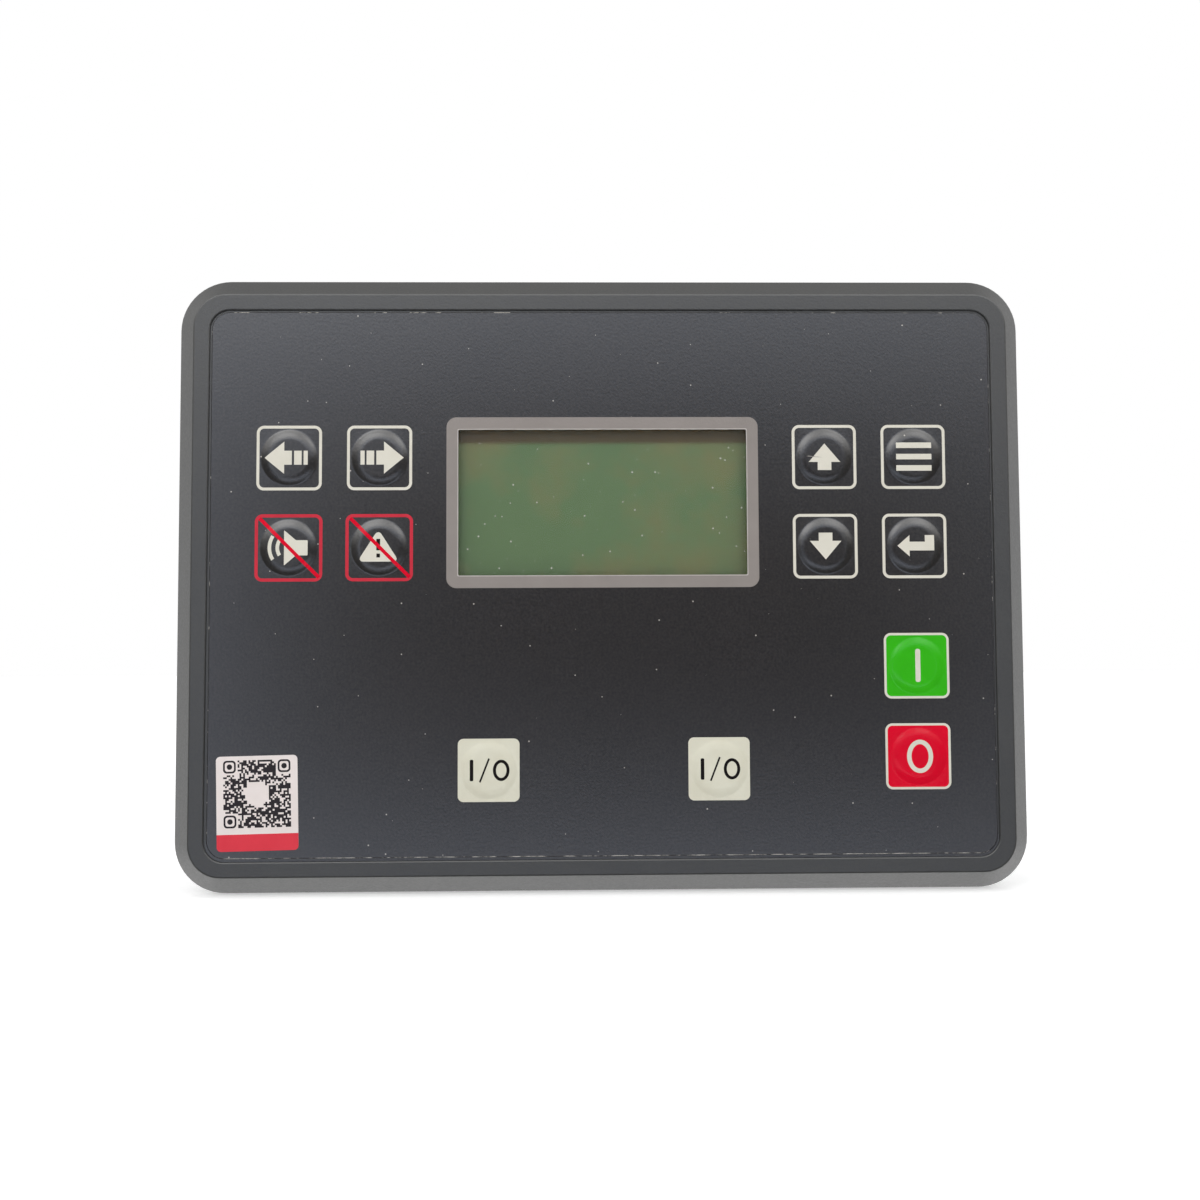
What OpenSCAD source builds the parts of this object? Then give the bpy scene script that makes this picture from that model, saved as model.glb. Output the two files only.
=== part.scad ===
// Generator set controller for panel mounting.
// The front faces -Y, +Z is up and +X is to the right seen from the front.
// The origin is the centre of the panel cut-out, on the rear face of the panel gasket.
// Every module draws in panel coordinates, x right, y up, z out of the front, and stand() turns it upright.

/* [Front bezel] */
// Width of the bezel
bezel_w = 240; // [234:1:260]
// Height of the bezel
bezel_h = 173; // [170:1:190]
// Depth of the bezel from its flange to its flat front ring
bezel_depth = 10; // [9:0.5:13]
// Corner radius of the bezel's outline
bezel_corner_r = 14.3; // [13:0.1:18]
// Width of the sloping rim seen from the front
rim_slope_w = 5.3; // [3:0.1:7]
// Height of the straight edge below the slope
rim_edge_h = 2.2; // [1.5:0.1:4]
// Width of the flat ring between the slope and the film recess
ring_w = 4.6; // [3:0.1:6]
// Thickness of the front wall under the film
bezel_wall = 2.4; // [2:0.1:3]
// Width of the flange from the panel cut-out's housing to the outline
flange_w = 12; // [11:0.5:14]
// How far the housing's front edge sits in the bezel
housing_rebate = 3; // [2:0.5:4]

/* [Keypad film] */
// Depth of the recess that takes the film
film_recess = 0.6; // [0.5:0.1:1]
// Thickness of the film with its adhesive
film_t = 0.4; // [0.3:0.05:0.5]
// Gap between the film's edge and the recess
film_gap = 0.5; // [0.2:0.1:0.8]
// Corner radius of the film
film_corner_r = 5; // [3:0.5:8]
// Radius of an embossed key dome
dome_r = 7.9; // [7:0.05:8.5]
// Width of the dome's rounded shoulder
dome_shoulder = 2; // [1:0.1:3]
// Height of the dome above the film
dome_h = 0.7; // [0.5:0.05:1]
// Radius of the hole in the bezel under each key
key_hole_r = 4; // [3:0.1:5]

/* [Key layout] */
// Distance between neighbouring keys
key_pitch = 25.2; // [24:0.1:26]
// Film side edge to the outer key columns
key_side_margin = 21.9; // [18:0.1:24]
// Film top edge to the upper key row
key_top_margin = 41.3; // [38:0.1:43]
// Lower arrow row to the start key
start_drop = 33.6; // [30:0.1:36]
// Film bottom edge to the breaker keys
breaker_rise = 23.8; // [18:0.1:26]
// Middle line to each breaker key
breaker_x = 32; // [26:0.5:40]

/* [Display] */
// Width of the display cut-out in the film
window_w = 81; // [74:0.5:84]
// Height of the display cut-out in the film
window_h = 41; // [36:0.5:44]
// How far the bezel's opening is set back behind the film's cut-out
window_reveal = 0.7; // [0.5:0.1:1.5]
// Width of the ledge that carries the clear window
window_ledge = 2.4; // [1.5:0.1:3]
// Thickness of the clear window
window_t = 1.5; // [1:0.1:1.6]
// Thickness of the foam between bezel and display
foam_t = 0.5; // [0.3:0.1:1]
// Sheet thickness of the display's steel frame
lcd_sheet = 0.4; // [0.3:0.1:0.6]
// Depth of the display module
lcd_depth = 5.6; // [5:0.1:7]
// Thickness of the display cell
lcd_glass_t = 2; // [1.5:0.1:2.5]
// Lip of the steel frame over the cell
lcd_lip = 4.5; // [3:0.1:6]

/* [Key switches] */
// Side of a switch body
switch_side = 6; // [5.5:0.1:7]
// Height of a switch body
switch_h = 3.5; // [3:0.1:4]
// Radius of a switch plunger
plunger_r = 1.75; // [1.5:0.05:2]
// Running clearance of the plunger in its body
plunger_clear = 0.05; // [0.03:0.01:0.1]
// Space between a plunger's tip and the dome above it
plunger_gap = 0.3; // [0.2:0.05:0.5]

/* [Panel seal] */
// Width of the gasket
gasket_w = 5; // [4:0.1:5.5]
// Depth of the gasket groove in the flange
gasket_groove = 1.4; // [1:0.1:2]
// How far the gasket stands behind the flange
gasket_proud = 0.6; // [0.4:0.1:1]
// Housing side to the gasket's inner edge
gasket_inset = 2.6; // [2:0.1:3]

/* [Rear housing] */
// Depth of the housing behind the panel seat
housing_depth = 34; // [32:0.5:42]
// Depth of the terminal shelves behind the panel seat
shelf_depth = 18; // [17:0.5:20]
// Height of each terminal gallery
gallery_h = 22; // [20:0.5:24]
// Wall thickness of the housing
housing_wall = 2.2; // [1.8:0.1:2.6]
// Corner radius of the housing
housing_corner_r = 5; // [4:0.5:7]
// Width of the bevel round the rear face
rear_bevel = 1.6; // [1:0.1:2]
// Clearance between pieces that plug together
fit_gap = 0.15; // [0.1:0.05:0.25]
// Housing side to the corner screws
screw_inset = 7; // [6.5:0.1:8]
// Outer radius of the screw tubes and bosses
boss_r = 4; // [3.6:0.1:4.2]
// Radius of the screws
screw_r = 1.4; // [1.2:0.05:1.6]
// Width of a clamp slot in the housing's long walls
clamp_slot_w = 16; // [12:0.5:20]
// Height of a clamp slot
clamp_slot_h = 3; // [2:0.1:3.5]
// Middle line to the clamp slots
clamp_x = 70; // [60:1:80]
// Width of a module cover
cover_w = 68; // [60:1:74]
// Height of a module cover
cover_h = 58; // [50:1:64]
// Middle line to the middle of a module cover
cover_x = 60; // [56:1:64]
// Thickness of a module cover's plate
cover_t = 1.2; // [1:0.1:1.4]

/* [Boards] */
// Thickness of the boards
board_t = 1.6; // [1.2:0.1:2]
// Gap between a board's edge and the housing
board_gap = 0.8; // [0.5:0.1:1.5]
// Gap between the rear board and the terminal shelves
shelf_gap = 1; // [0.8:0.1:1.5]
// Housing side to the standoffs
standoff_inset = 10; // [9:0.5:12]
// Rear cover's edge to the standoffs
standoff_rise = 10.5; // [8:0.5:14]
// Radius of a standoff across its corners
standoff_r = 3.2; // [2.8:0.1:3.4]

/* [Terminals] */
// Pole spacing of the measuring terminals
wide_pitch = 7.62; // [7.5:0.02:7.8]
// Pole spacing of the signal terminals
slim_pitch = 5.08; // [5:0.02:5.2]
// Smallest gap between neighbouring terminals
terminal_gap = 2.5; // [2:0.1:3]
// Screw tubes to the ends of the terminal rows
row_clear = 4.5; // [4:0.1:6]
// Thickness of a header across its row
header_t = 8.6; // [8:0.1:9]
// Height of a header above its board
header_h = 11; // [10:0.1:12]
// Wall of a header's shroud
header_wall = 1; // [0.8:0.1:1.2]
// Floor of a header's shroud
header_floor = 2.4; // [2:0.1:3]
// Thickness of a plug across its row
plug_t = 12; // [11:0.1:13]
// Height of a plug's body behind its header
plug_h = 7.6; // [7:0.1:8]
// Side of a contact pin
pin_side = 1; // [0.8:0.1:1.2]
// Width of a wire entry
wire_entry = 3.2; // [2.8:0.1:3.6]
// Radius of a terminal screw
terminal_screw_r = 1.6; // [1.4:0.05:1.7]

/* [Hidden] */
$fn = 48;
// Overshoot of every cut past the face it opens
eps = 1;
// How far the sockets stand behind the headers
socket_proud = 4;

// Levels along the panel's normal, from front to rear
flange_z = gasket_proud;
front_z = flange_z + bezel_depth;
film_floor_z = front_z - film_recess;
film_top_z = film_floor_z + film_t;
wall_back_z = film_floor_z - bezel_wall;
lcd_front_z = wall_back_z - foam_t;
front_board_z = lcd_front_z - lcd_depth;
front_board_back_z = front_board_z - board_t;
housing_front_z = flange_z + housing_rebate;
shelf_z = -shelf_depth;
shelf_inner_z = shelf_z + housing_wall;
rear_z = -housing_depth;
rear_board_back_z = shelf_inner_z + shelf_gap;
rear_board_z = rear_board_back_z + board_t;
board_space = front_board_back_z - rear_board_z;
header_end_z = rear_board_back_z - header_h;
plug_front_z = header_end_z - fit_gap;
plug_end_z = plug_front_z - plug_h;
socket_end_z = plug_front_z - socket_proud;

// Outlines
recess_w = bezel_w - 2 * (rim_slope_w + ring_w);
recess_h = bezel_h - 2 * (rim_slope_w + ring_w);
film_w = recess_w - 2 * film_gap;
film_h = recess_h - 2 * film_gap;
housing_w = bezel_w - 2 * flange_w;
housing_h = bezel_h - 2 * flange_w;
inner_w = housing_w - 2 * housing_wall;
inner_h = housing_h - 2 * housing_wall;
inner_r = housing_corner_r - housing_wall;
block_h = housing_h - 2 * gallery_h;
block_in_h = block_h - 2 * housing_wall;
board_w = inner_w - 2 * board_gap;
board_h = inner_h - 2 * board_gap;
gasket_in_w = housing_w + 2 * gasket_inset;
gasket_in_h = housing_h + 2 * gasket_inset;
gasket_r = housing_corner_r + gasket_inset;

// Screws at the housing's corners, and the notches that clear their tubes
screw_x = housing_w / 2 - screw_inset;
screw_y = housing_h / 2 - screw_inset;
screw_head_r = 2 * screw_r;
screw_head_h = 2;
thread_clear = 0.05;
screw_clear = 0.3;
screw_spare = 1;
boss_drop = 2;
screw_bore_r = screw_r + thread_clear;
screw_pass_r = screw_r + screw_clear;
boss_end_z = front_board_back_z - boss_drop;
recess_slot_w = 0.7;
notch_clear = 0.8;
CORNERS = [[1, 1], [-1, 1], [-1, -1], [1, -1]];

// Keys: name, x, y
key_out_x = film_w / 2 - key_side_margin;
key_in_x = key_out_x - key_pitch;
key_top_y = film_h / 2 - key_top_margin;
key_low_y = key_top_y - key_pitch;
start_y = key_low_y - start_drop;
stop_y = start_y - key_pitch;
breaker_y = breaker_rise - film_h / 2;
KEYS = [
    ["page_left", -key_out_x, key_top_y],
    ["page_right", -key_in_x, key_top_y],
    ["horn_reset", -key_out_x, key_low_y],
    ["fault_reset", -key_in_x, key_low_y],
    ["up", key_in_x, key_top_y],
    ["menu", key_out_x, key_top_y],
    ["down", key_in_x, key_low_y],
    ["enter", key_out_x, key_low_y],
    ["start", key_out_x, start_y],
    ["stop", key_out_x, stop_y],
    ["generator_breaker", -breaker_x, breaker_y],
    ["mains_breaker", breaker_x, breaker_y],
];
dome_steps = 5;

// Display, level with the middle of the key groups
window_y = (key_top_y + key_low_y) / 2;
window_r = 0.5;
opening_w = window_w + 2 * window_reveal;
opening_h = window_h + 2 * window_reveal;
pane_w = opening_w + 2 * window_ledge;
pane_h = opening_h + 2 * window_ledge;
pane_r = 2.5;
lcd_view_gap = 0.5;
lcd_view_w = opening_w + 2 * lcd_view_gap;
lcd_view_h = opening_h + 2 * lcd_view_gap;
lcd_w = lcd_view_w + 2 * (lcd_lip + lcd_sheet);
lcd_h = lcd_view_h + 2 * (lcd_lip + lcd_sheet);
cell_w = lcd_w - 2 * (lcd_sheet + fit_gap);
cell_h = lcd_h - 2 * (lcd_sheet + fit_gap);

// Switches
switch_cover = 0.6;
collar_w = 0.45;
collar_r = plunger_r + collar_w;
collar_h = 0.8;
collar_clear = 0.1;
switch_top_z = front_board_z + switch_h;
switch_roof_z = switch_top_z - switch_cover;
plunger_tip_z = film_floor_z + dome_h - plunger_gap;
tip_bevel = 0.3;

// Sticker on the film, lower left
sticker_w = 22.4;
sticker_h = 26;
sticker_t = 0.12;
sticker_r = 1.2;
sticker_tilt = 1.2;
sticker_side = 13.9;
sticker_base = 15.2;

// Standoffs between the boards: the four outer ones and two below the display
standoff_x = housing_w / 2 - standoff_inset;
standoff_y = block_h / 2 - standoff_rise;
standoff_mid_x = 12;
standoff_mid_drop = 16;
standoff_mid_y = standoff_y - standoff_mid_drop;
STANDOFFS = concat(
    [for (c = CORNERS) [c[0] * standoff_x, c[1] * standoff_y]],
    [[standoff_mid_x, -standoff_mid_y], [-standoff_mid_x, -standoff_mid_y]]
);
standoff_stud = 4;
standoff_bore_depth = 7;
board_hole_clear = 0.2;
board_hole_r = screw_r + board_hole_clear;
standoff_boss_r = 3;

// Terminal rows between the corner screws, with as many poles as fit
row_w = 2 * (screw_x - boss_r - row_clear);
data_socket_w = 12;
data_socket_d = 11;
network_socket_w = 16;
network_socket_d = 13.4;
wide_poles = 4;
supply_poles = 4;
top_slim_w = row_w - 2 * wide_poles * wide_pitch - data_socket_w - network_socket_w - 5 * terminal_gap;
top_slim_poles = floor(top_slim_w / 2 / slim_pitch);
low_poles = (row_w - 3 * terminal_gap) / slim_pitch - supply_poles;

// Terminals: name, poles, pitch. A row runs from left to right seen from the front
TOP_ROW = [
    ["generator_volts", wide_poles, wide_pitch],
    ["mains_volts", wide_poles, wide_pitch],
    ["current", top_slim_poles, slim_pitch],
    ["comms", top_slim_poles, slim_pitch],
];
LOW_ROW = [
    ["supply", supply_poles, slim_pitch],
    ["outputs", floor(0.34 * low_poles), slim_pitch],
    ["inputs", floor(0.4 * low_poles), slim_pitch],
    ["analog", floor(0.25 * low_poles), slim_pitch],
];
terminal_y = housing_h / 2 - gallery_h / 2;
plug_pin_clear = 0.15;
plug_bevel = 2;
wire_lip = 0.8;
wire_entry_depth = 5;
pin_setback = 1;
screw_well = 3;
terminal_screw_h = 2;
terminal_slot_w = 0.6;
terminal_slot_depth = 0.8;

// Length of a terminal, of the first n of a row, and where terminal i of a row starts
function row_length(t) = t[1] * t[2];
function rows_length(row, n) = n == 0 ? 0 : rows_length(row, n - 1) + row_length(row[n - 1]);
function row_start(row, gap, i) = rows_length(row, i) + i * gap - row_w / 2;
top_used = rows_length(TOP_ROW, len(TOP_ROW)) + data_socket_w + network_socket_w;
top_gap = (row_w - top_used) / (len(TOP_ROW) + 1);
low_gap = (row_w - rows_length(LOW_ROW, len(LOW_ROW))) / (len(LOW_ROW) - 1);
network_socket_x = row_w / 2 - network_socket_w / 2;
data_socket_x = row_w / 2 - network_socket_w - top_gap - data_socket_w / 2;

// Terminals placed: name, poles, pitch, x of the middle, side (1 top, -1 bottom)
TERMINALS = concat(
    [for (i = [0 : len(TOP_ROW) - 1]) let (t = TOP_ROW[i])
        [t[0], t[1], t[2], row_start(TOP_ROW, top_gap, i) + row_length(t) / 2, 1]],
    [for (i = [0 : len(LOW_ROW) - 1]) let (t = LOW_ROW[i])
        [t[0], t[1], t[2], row_start(LOW_ROW, low_gap, i) + row_length(t) / 2, -1]]
);

// Sockets between the terminals: mouths, tongue, latch and keyway
data_mouth_w = 8.6;
data_mouth_h = 7.9;
data_bevel = 1.8;
data_depth = 9;
tongue_w = 5.7;
tongue_h = 3.2;
tongue_setback = 1;
network_mouth_w = 11.8;
network_mouth_h = 7.2;
network_mouth_lift = 1;
network_depth = 12;
latch_w = 6.2;
latch_h = 3;
keyway_w = 4;
keyway_h = 5.6;
keyway_depth = 4;

// Parts on the rear side of the front board
processor_side = 16;
processor_h = 1.6;
processor_x = 30;
mark_r = 0.8;
mark_depth = 0.2;
cell_r = 10;
cell_t = 3.2;
cell_x = -62;
cell_y = -8;
cup_wall = 1.2;
cup_floor = 0.8;

// Stacking connector between the boards
link_poles = 12;
link_pitch = 2.54;
link_w = link_poles * link_pitch;
link_d = 5;
link_base = 2.5;
link_gap = 1.5;
link_x = 45;
link_y = -38;
link_pin = 0.64;
link_pin_h = 6;
link_pin_spare = 0.5;
link_hole = 1;
link_socket_h = board_space - link_base - link_gap;

// Parts on the front side of the rear board
cap_count = 3;
cap_r = 4;
cap_h = 9.5;
cap_bevel = 0.5;
cap_pitch = 11;
cap_inset = 16;
cap_drop = 2;
cap_x = cap_inset - standoff_x;
cap_y = -standoff_y - cap_drop;
ct_count = 4;
ct_side = 13;
ct_r = 1;
ct_h = 9.5;
ct_hole_r = 1.5;
ct_floor = 2;
ct_pitch = 15;
ct_drop = 2;
ct_y = standoff_y - ct_drop;

// Rear cover with its lip, module covers, vents and clamp slots
cover_ledge = 2;
cover_gap = 0.2;
cover_rim = 1.2;
lip_t = 1.2;
lip_root = 1.5;
scoop_r = 12;
scoop_depth = 0.6;
scoop_len = 20;
scoop_inset = 8;
vent_w = 2.2;
vent_pitch = 5.2;
vent_count = 7;
vent_margin = 6;
vent_len = cover_h - 2 * vent_margin;
side_vent_len = 8;
side_vent_drop = 2;
side_vent_count = 11;
clamp_z = (shelf_inner_z + flange_z) / 2;

// Turns panel coordinates upright: x right, y up, z towards the viewer
module stand() {
    rotate([90, 0, 0]) children();
}

// Rectangle with round corners
module round_rect(w, h, r) {
    square([w - 2 * r, h], center = true);
    square([w, h - 2 * r], center = true);
    for (c = CORNERS)
        translate([c[0] * (w / 2 - r), c[1] * (h / 2 - r)]) circle(r);
}

// Plate with round corners between two levels
module plate(w, h, r, z0, z1) {
    translate([0, 0, min(z0, z1)])
        linear_extrude(abs(z1 - z0)) round_rect(w, h, r);
}

// Box centred on a point between two levels
module slab(w, h, z0, z1) {
    translate([-w / 2, -h / 2, min(z0, z1)]) cube([w, h, abs(z1 - z0)]);
}

// Upright cylinder between two levels
module post(r, z0, z1) {
    translate([0, 0, min(z0, z1)]) cylinder(r = r, h = abs(z1 - z0));
}

// Block with round corners whose outline shrinks evenly by inset from z0 to z1
module tapered_block(w, h, r, inset, z0, z1) {
    core_w = w - 2 * r;
    core_h = h - 2 * r;
    rotate([90, 0, 90]) linear_extrude(core_w, center = true)
        polygon([[-h / 2, z0], [h / 2, z0], [h / 2 - inset, z1], [inset - h / 2, z1]]);
    for (side = [0, 180]) rotate([0, 0, side])
        rotate([90, 0, 0]) linear_extrude(core_h, center = true)
            polygon([[core_w / 2, z0], [w / 2, z0], [w / 2 - inset, z1], [core_w / 2, z1]]);
    for (i = [0 : 3])
        translate([CORNERS[i][0] * core_w / 2, CORNERS[i][1] * core_h / 2])
            rotate([0, 0, 90 * i]) rotate_extrude(angle = 90)
                polygon([[0, z0], [r, z0], [r - inset, z1], [0, z1]]);
}

// Children at every key
module at_keys() {
    for (k = KEYS) translate([k[1], k[2]]) children();
}

// Children at the housing's corner screws
module at_screws() {
    for (c = CORNERS) translate([c[0] * screw_x, c[1] * screw_y]) children();
}

// Children at every standoff
module at_standoffs() {
    for (p = STANDOFFS) translate(p) children();
}

module front_bezel() stand() color("#5a5b5c") difference() {
    union() {
        difference() {
            union() {
                plate(bezel_w, bezel_h, bezel_corner_r, flange_z, flange_z + rim_edge_h);
                tapered_block(bezel_w, bezel_h, bezel_corner_r, rim_slope_w,
                    flange_z + rim_edge_h, front_z);
            }
            plate(inner_w, inner_h, inner_r, flange_z - eps, wall_back_z);
            // Rebate for the housing's front edge
            plate(housing_w + 2 * fit_gap, housing_h + 2 * fit_gap, housing_corner_r + fit_gap,
                flange_z - eps, housing_front_z);
        }
        at_screws() post(boss_r, boss_end_z, wall_back_z + bezel_wall / 2);
        at_standoffs() post(standoff_boss_r, front_board_z, wall_back_z + bezel_wall / 2);
    }
    // Recess for the film
    plate(recess_w, recess_h, film_corner_r + film_gap, film_floor_z, front_z + eps);
    // Groove for the panel gasket
    difference() {
        plate(gasket_in_w + 2 * gasket_w, gasket_in_h + 2 * gasket_w, gasket_r + gasket_w,
            flange_z - eps, flange_z + gasket_groove);
        plate(gasket_in_w, gasket_in_h, gasket_r, flange_z - 2 * eps, flange_z + gasket_groove + eps);
    }
    // Display opening with the pocket for the clear window
    translate([0, window_y]) {
        plate(opening_w, opening_h, window_r, wall_back_z - eps, film_floor_z + eps);
        plate(pane_w, pane_h, pane_r, film_floor_z - window_t, film_floor_z + eps);
    }
    at_keys() post(key_hole_r, wall_back_z - eps, film_floor_z + eps);
    at_screws() post(screw_bore_r, boss_end_z - eps, wall_back_z);
    at_standoffs() post(screw_bore_r, front_board_z - eps, wall_back_z);
}

// Solid of revolution under an embossed dome, lifted from level z. Its shoulder is steepest at the foot
module dome_solid(z, base) {
    rotate_extrude() polygon(concat(
        [[0, base], [dome_r, base]],
        [for (i = [0 : dome_steps])
            [dome_r - dome_shoulder * i / dome_steps, z + dome_h * (1 - pow(1 - i / dome_steps, 2))]],
        [[0, z + dome_h]]
    ));
}

module keypad_film() stand() color("#34312f") difference() {
    union() {
        plate(film_w, film_h, film_corner_r, film_floor_z, film_top_z);
        at_keys() dome_solid(film_top_z, film_floor_z + film_t / 2);
    }
    at_keys() dome_solid(film_floor_z, film_floor_z - eps);
    translate([0, window_y]) slab(window_w, window_h, film_floor_z - eps, film_top_z + eps);
}

module guide_sticker() stand() color("#e9e2e2")
    translate([sticker_side - film_w / 2, sticker_base - film_h / 2]) rotate([0, 0, sticker_tilt])
        plate(sticker_w, sticker_h, sticker_r, film_top_z, film_top_z + sticker_t);

module display_window() stand() color("#c9d2cc")
    translate([0, window_y])
        plate(pane_w - 2 * fit_gap, pane_h - 2 * fit_gap, pane_r - fit_gap,
            film_floor_z - window_t, film_floor_z);

module display_gasket() stand() color("#202020")
    translate([0, window_y]) difference() {
        slab(lcd_w - 2 * lcd_sheet, lcd_h - 2 * lcd_sheet, lcd_front_z, wall_back_z);
        slab(lcd_view_w, lcd_view_h, lcd_front_z - eps, wall_back_z + eps);
    }

module lcd_frame() stand() color("#9a9c9e")
    translate([0, window_y]) difference() {
        slab(lcd_w, lcd_h, front_board_z, lcd_front_z);
        slab(lcd_w - 2 * lcd_sheet, lcd_h - 2 * lcd_sheet, front_board_z - eps, lcd_front_z - lcd_sheet);
        slab(lcd_view_w, lcd_view_h, front_board_z, lcd_front_z + eps);
    }

module lcd_glass() stand() color("#627a5c")
    translate([0, window_y])
        slab(cell_w, cell_h, lcd_front_z - lcd_sheet - lcd_glass_t, lcd_front_z - lcd_sheet);

module lcd_backlight() stand() color("#e8ead8")
    translate([0, window_y])
        slab(cell_w, cell_h, front_board_z, lcd_front_z - lcd_sheet - lcd_glass_t);

// Board outline with notches that clear the corner screw tubes
module board_blank(z0, z1) {
    slab(2 * (screw_x - boss_r - notch_clear), board_h, z0, z1);
    slab(board_w, 2 * (screw_y - boss_r - notch_clear), z0, z1);
}

module front_board() stand() color("#1f5a37") difference() {
    board_blank(front_board_back_z, front_board_z);
    at_standoffs() post(board_hole_r, front_board_back_z - eps, front_board_z + eps);
}

module switch_bodies() stand() color("#26282a") at_keys() difference() {
    slab(switch_side, switch_side, front_board_z, switch_top_z);
    post(collar_r + collar_clear, front_board_z - eps, switch_roof_z);
    post(plunger_r + plunger_clear, front_board_z, switch_top_z + eps);
}

// Plunger of the key switch at position k
module plunger(k) stand() color("#17181a") translate([k[1], k[2]]) {
    post(collar_r, switch_roof_z - collar_clear - collar_h, switch_roof_z - collar_clear);
    post(plunger_r, switch_roof_z - collar_clear - collar_h, plunger_tip_z - tip_bevel);
    translate([0, 0, plunger_tip_z - tip_bevel])
        cylinder(r1 = plunger_r, r2 = plunger_r - tip_bevel, h = tip_bevel);
}

module processor() stand() color("#1c1d1f")
    translate([processor_x, window_y]) difference() {
        slab(processor_side, processor_side, front_board_back_z - processor_h, front_board_back_z);
        translate([-processor_side / 3, processor_side / 3])
            post(mark_r, front_board_back_z - processor_h - eps,
                front_board_back_z - processor_h + mark_depth);
    }

module cell_holder() stand() color("#2b2c2e")
    translate([cell_x, cell_y]) difference() {
        post(cell_r + fit_gap + cup_wall, front_board_back_z - cup_floor - cell_t, front_board_back_z);
        post(cell_r + fit_gap, front_board_back_z - cup_floor - cell_t - eps,
            front_board_back_z - cup_floor);
    }

module coin_cell() stand() color("#c4c6c8")
    translate([cell_x, cell_y])
        post(cell_r, front_board_back_z - cup_floor - cell_t, front_board_back_z - cup_floor);

// Children at every pole of the stacking connector
module at_link_poles() {
    for (i = [0 : link_poles - 1], row = [-1, 1])
        translate([(i - (link_poles - 1) / 2) * link_pitch, row * link_pitch / 2]) children();
}

module link_socket() stand() color("#202123")
    translate([link_x, link_y]) difference() {
        slab(link_w, link_d, front_board_back_z - link_socket_h, front_board_back_z);
        at_link_poles() slab(link_hole, link_hole, front_board_back_z - link_socket_h - eps,
            rear_board_z + link_base + link_pin_h + link_pin_spare);
    }

module link_header() stand() color("#202123")
    translate([link_x, link_y]) {
        slab(link_w, link_d, rear_board_z, rear_board_z + link_base);
        at_link_poles() slab(link_pin, link_pin, rear_board_z, rear_board_z + link_base + link_pin_h);
    }

module rear_board() stand() color("#1f5a37") difference() {
    board_blank(rear_board_back_z, rear_board_z);
    at_standoffs() post(board_hole_r, rear_board_back_z - eps, rear_board_z + eps);
}

module board_standoffs() stand() color("#b9a25a") at_standoffs() difference() {
    union() {
        translate([0, 0, rear_board_z]) cylinder(r = standoff_r, h = board_space, $fn = 6);
        post(screw_r, front_board_back_z - eps, front_board_z + standoff_stud);
    }
    post(screw_bore_r, rear_board_z - eps, rear_board_z + standoff_bore_depth);
}

// Pan head screw: head between head_z and seat_z, shank up to tip_z, cross recess in the head
module pan_screw(head_z, seat_z, tip_z) {
    recess_l = 1.4 * screw_head_r;
    difference() {
        post(screw_head_r, head_z, seat_z);
        for (turn = [0, 90]) rotate([0, 0, turn])
            slab(recess_l, recess_slot_w, head_z - eps, head_z + screw_head_h / 2);
    }
    post(screw_r, seat_z - screw_head_h / 4, tip_z);
}

module board_screws() stand() color("#b4b6b8") at_standoffs()
    pan_screw(rear_board_back_z - screw_head_h, rear_board_back_z,
        rear_board_z + standoff_bore_depth - screw_spare);

module supply_capacitors() stand() color("#27436b")
    for (i = [0 : cap_count - 1]) translate([cap_x + i * cap_pitch, cap_y]) {
        post(cap_r, rear_board_z, rear_board_z + cap_h - cap_bevel);
        translate([0, 0, rear_board_z + cap_h - cap_bevel])
            cylinder(r1 = cap_r, r2 = cap_r - cap_bevel, h = cap_bevel);
    }

module current_transformers() stand() color("#2d5f94")
    for (i = [0 : ct_count - 1]) translate([(i - (ct_count - 1) / 2) * ct_pitch, ct_y]) difference() {
        plate(ct_side, ct_side, ct_r, rear_board_z, rear_board_z + ct_h);
        post(ct_hole_r, rear_board_z + ct_floor, rear_board_z + ct_h + eps);
    }

module panel_gasket() stand() color("#1b1b1b") difference() {
    plate(gasket_in_w + 2 * gasket_w - 2 * fit_gap, gasket_in_h + 2 * gasket_w - 2 * fit_gap,
        gasket_r + gasket_w - fit_gap, 0, flange_z + gasket_groove);
    plate(gasket_in_w + 2 * fit_gap, gasket_in_h + 2 * fit_gap, gasket_r + fit_gap,
        -eps, flange_z + gasket_groove + eps);
}

// Cut through a terminal shelf for a piece of w by h
module shelf_slot(w, h) {
    slab(w + 2 * fit_gap, h + 2 * fit_gap, shelf_z - eps, shelf_inner_z + eps);
}

// Tray behind the bezel: terminal shelves, screw tubes and an opening that the rear cover closes
module rear_housing() stand() color("#2c2e30") difference() {
    union() {
        difference() {
            plate(housing_w, housing_h, housing_corner_r, shelf_z, housing_front_z);
            plate(inner_w, inner_h, inner_r, shelf_inner_z, housing_front_z + eps);
            plate(inner_w, block_in_h, inner_r, shelf_z - eps, shelf_inner_z + eps);
        }
        at_screws() post(boss_r, shelf_z + housing_wall / 2, boss_end_z);
    }
    at_screws() {
        post(screw_pass_r, shelf_z - eps, boss_end_z + eps);
        post(screw_head_r + screw_clear, shelf_z - eps, shelf_z + screw_head_h);
    }
    // Slots in the shelves for terminal headers and sockets
    for (t = TERMINALS) translate([t[3], t[4] * terminal_y])
        shelf_slot(row_length(t), header_t);
    translate([data_socket_x, terminal_y])
        shelf_slot(data_socket_w, data_socket_d);
    translate([network_socket_x, terminal_y])
        shelf_slot(network_socket_w, network_socket_d);
    // Slots for the panel clamps in the long walls
    for (side = [-1, 1]) translate([side * clamp_x, 0])
        slab(clamp_slot_w, housing_h + 2 * eps, clamp_z - clamp_slot_h / 2, clamp_z + clamp_slot_h / 2);
}

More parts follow.
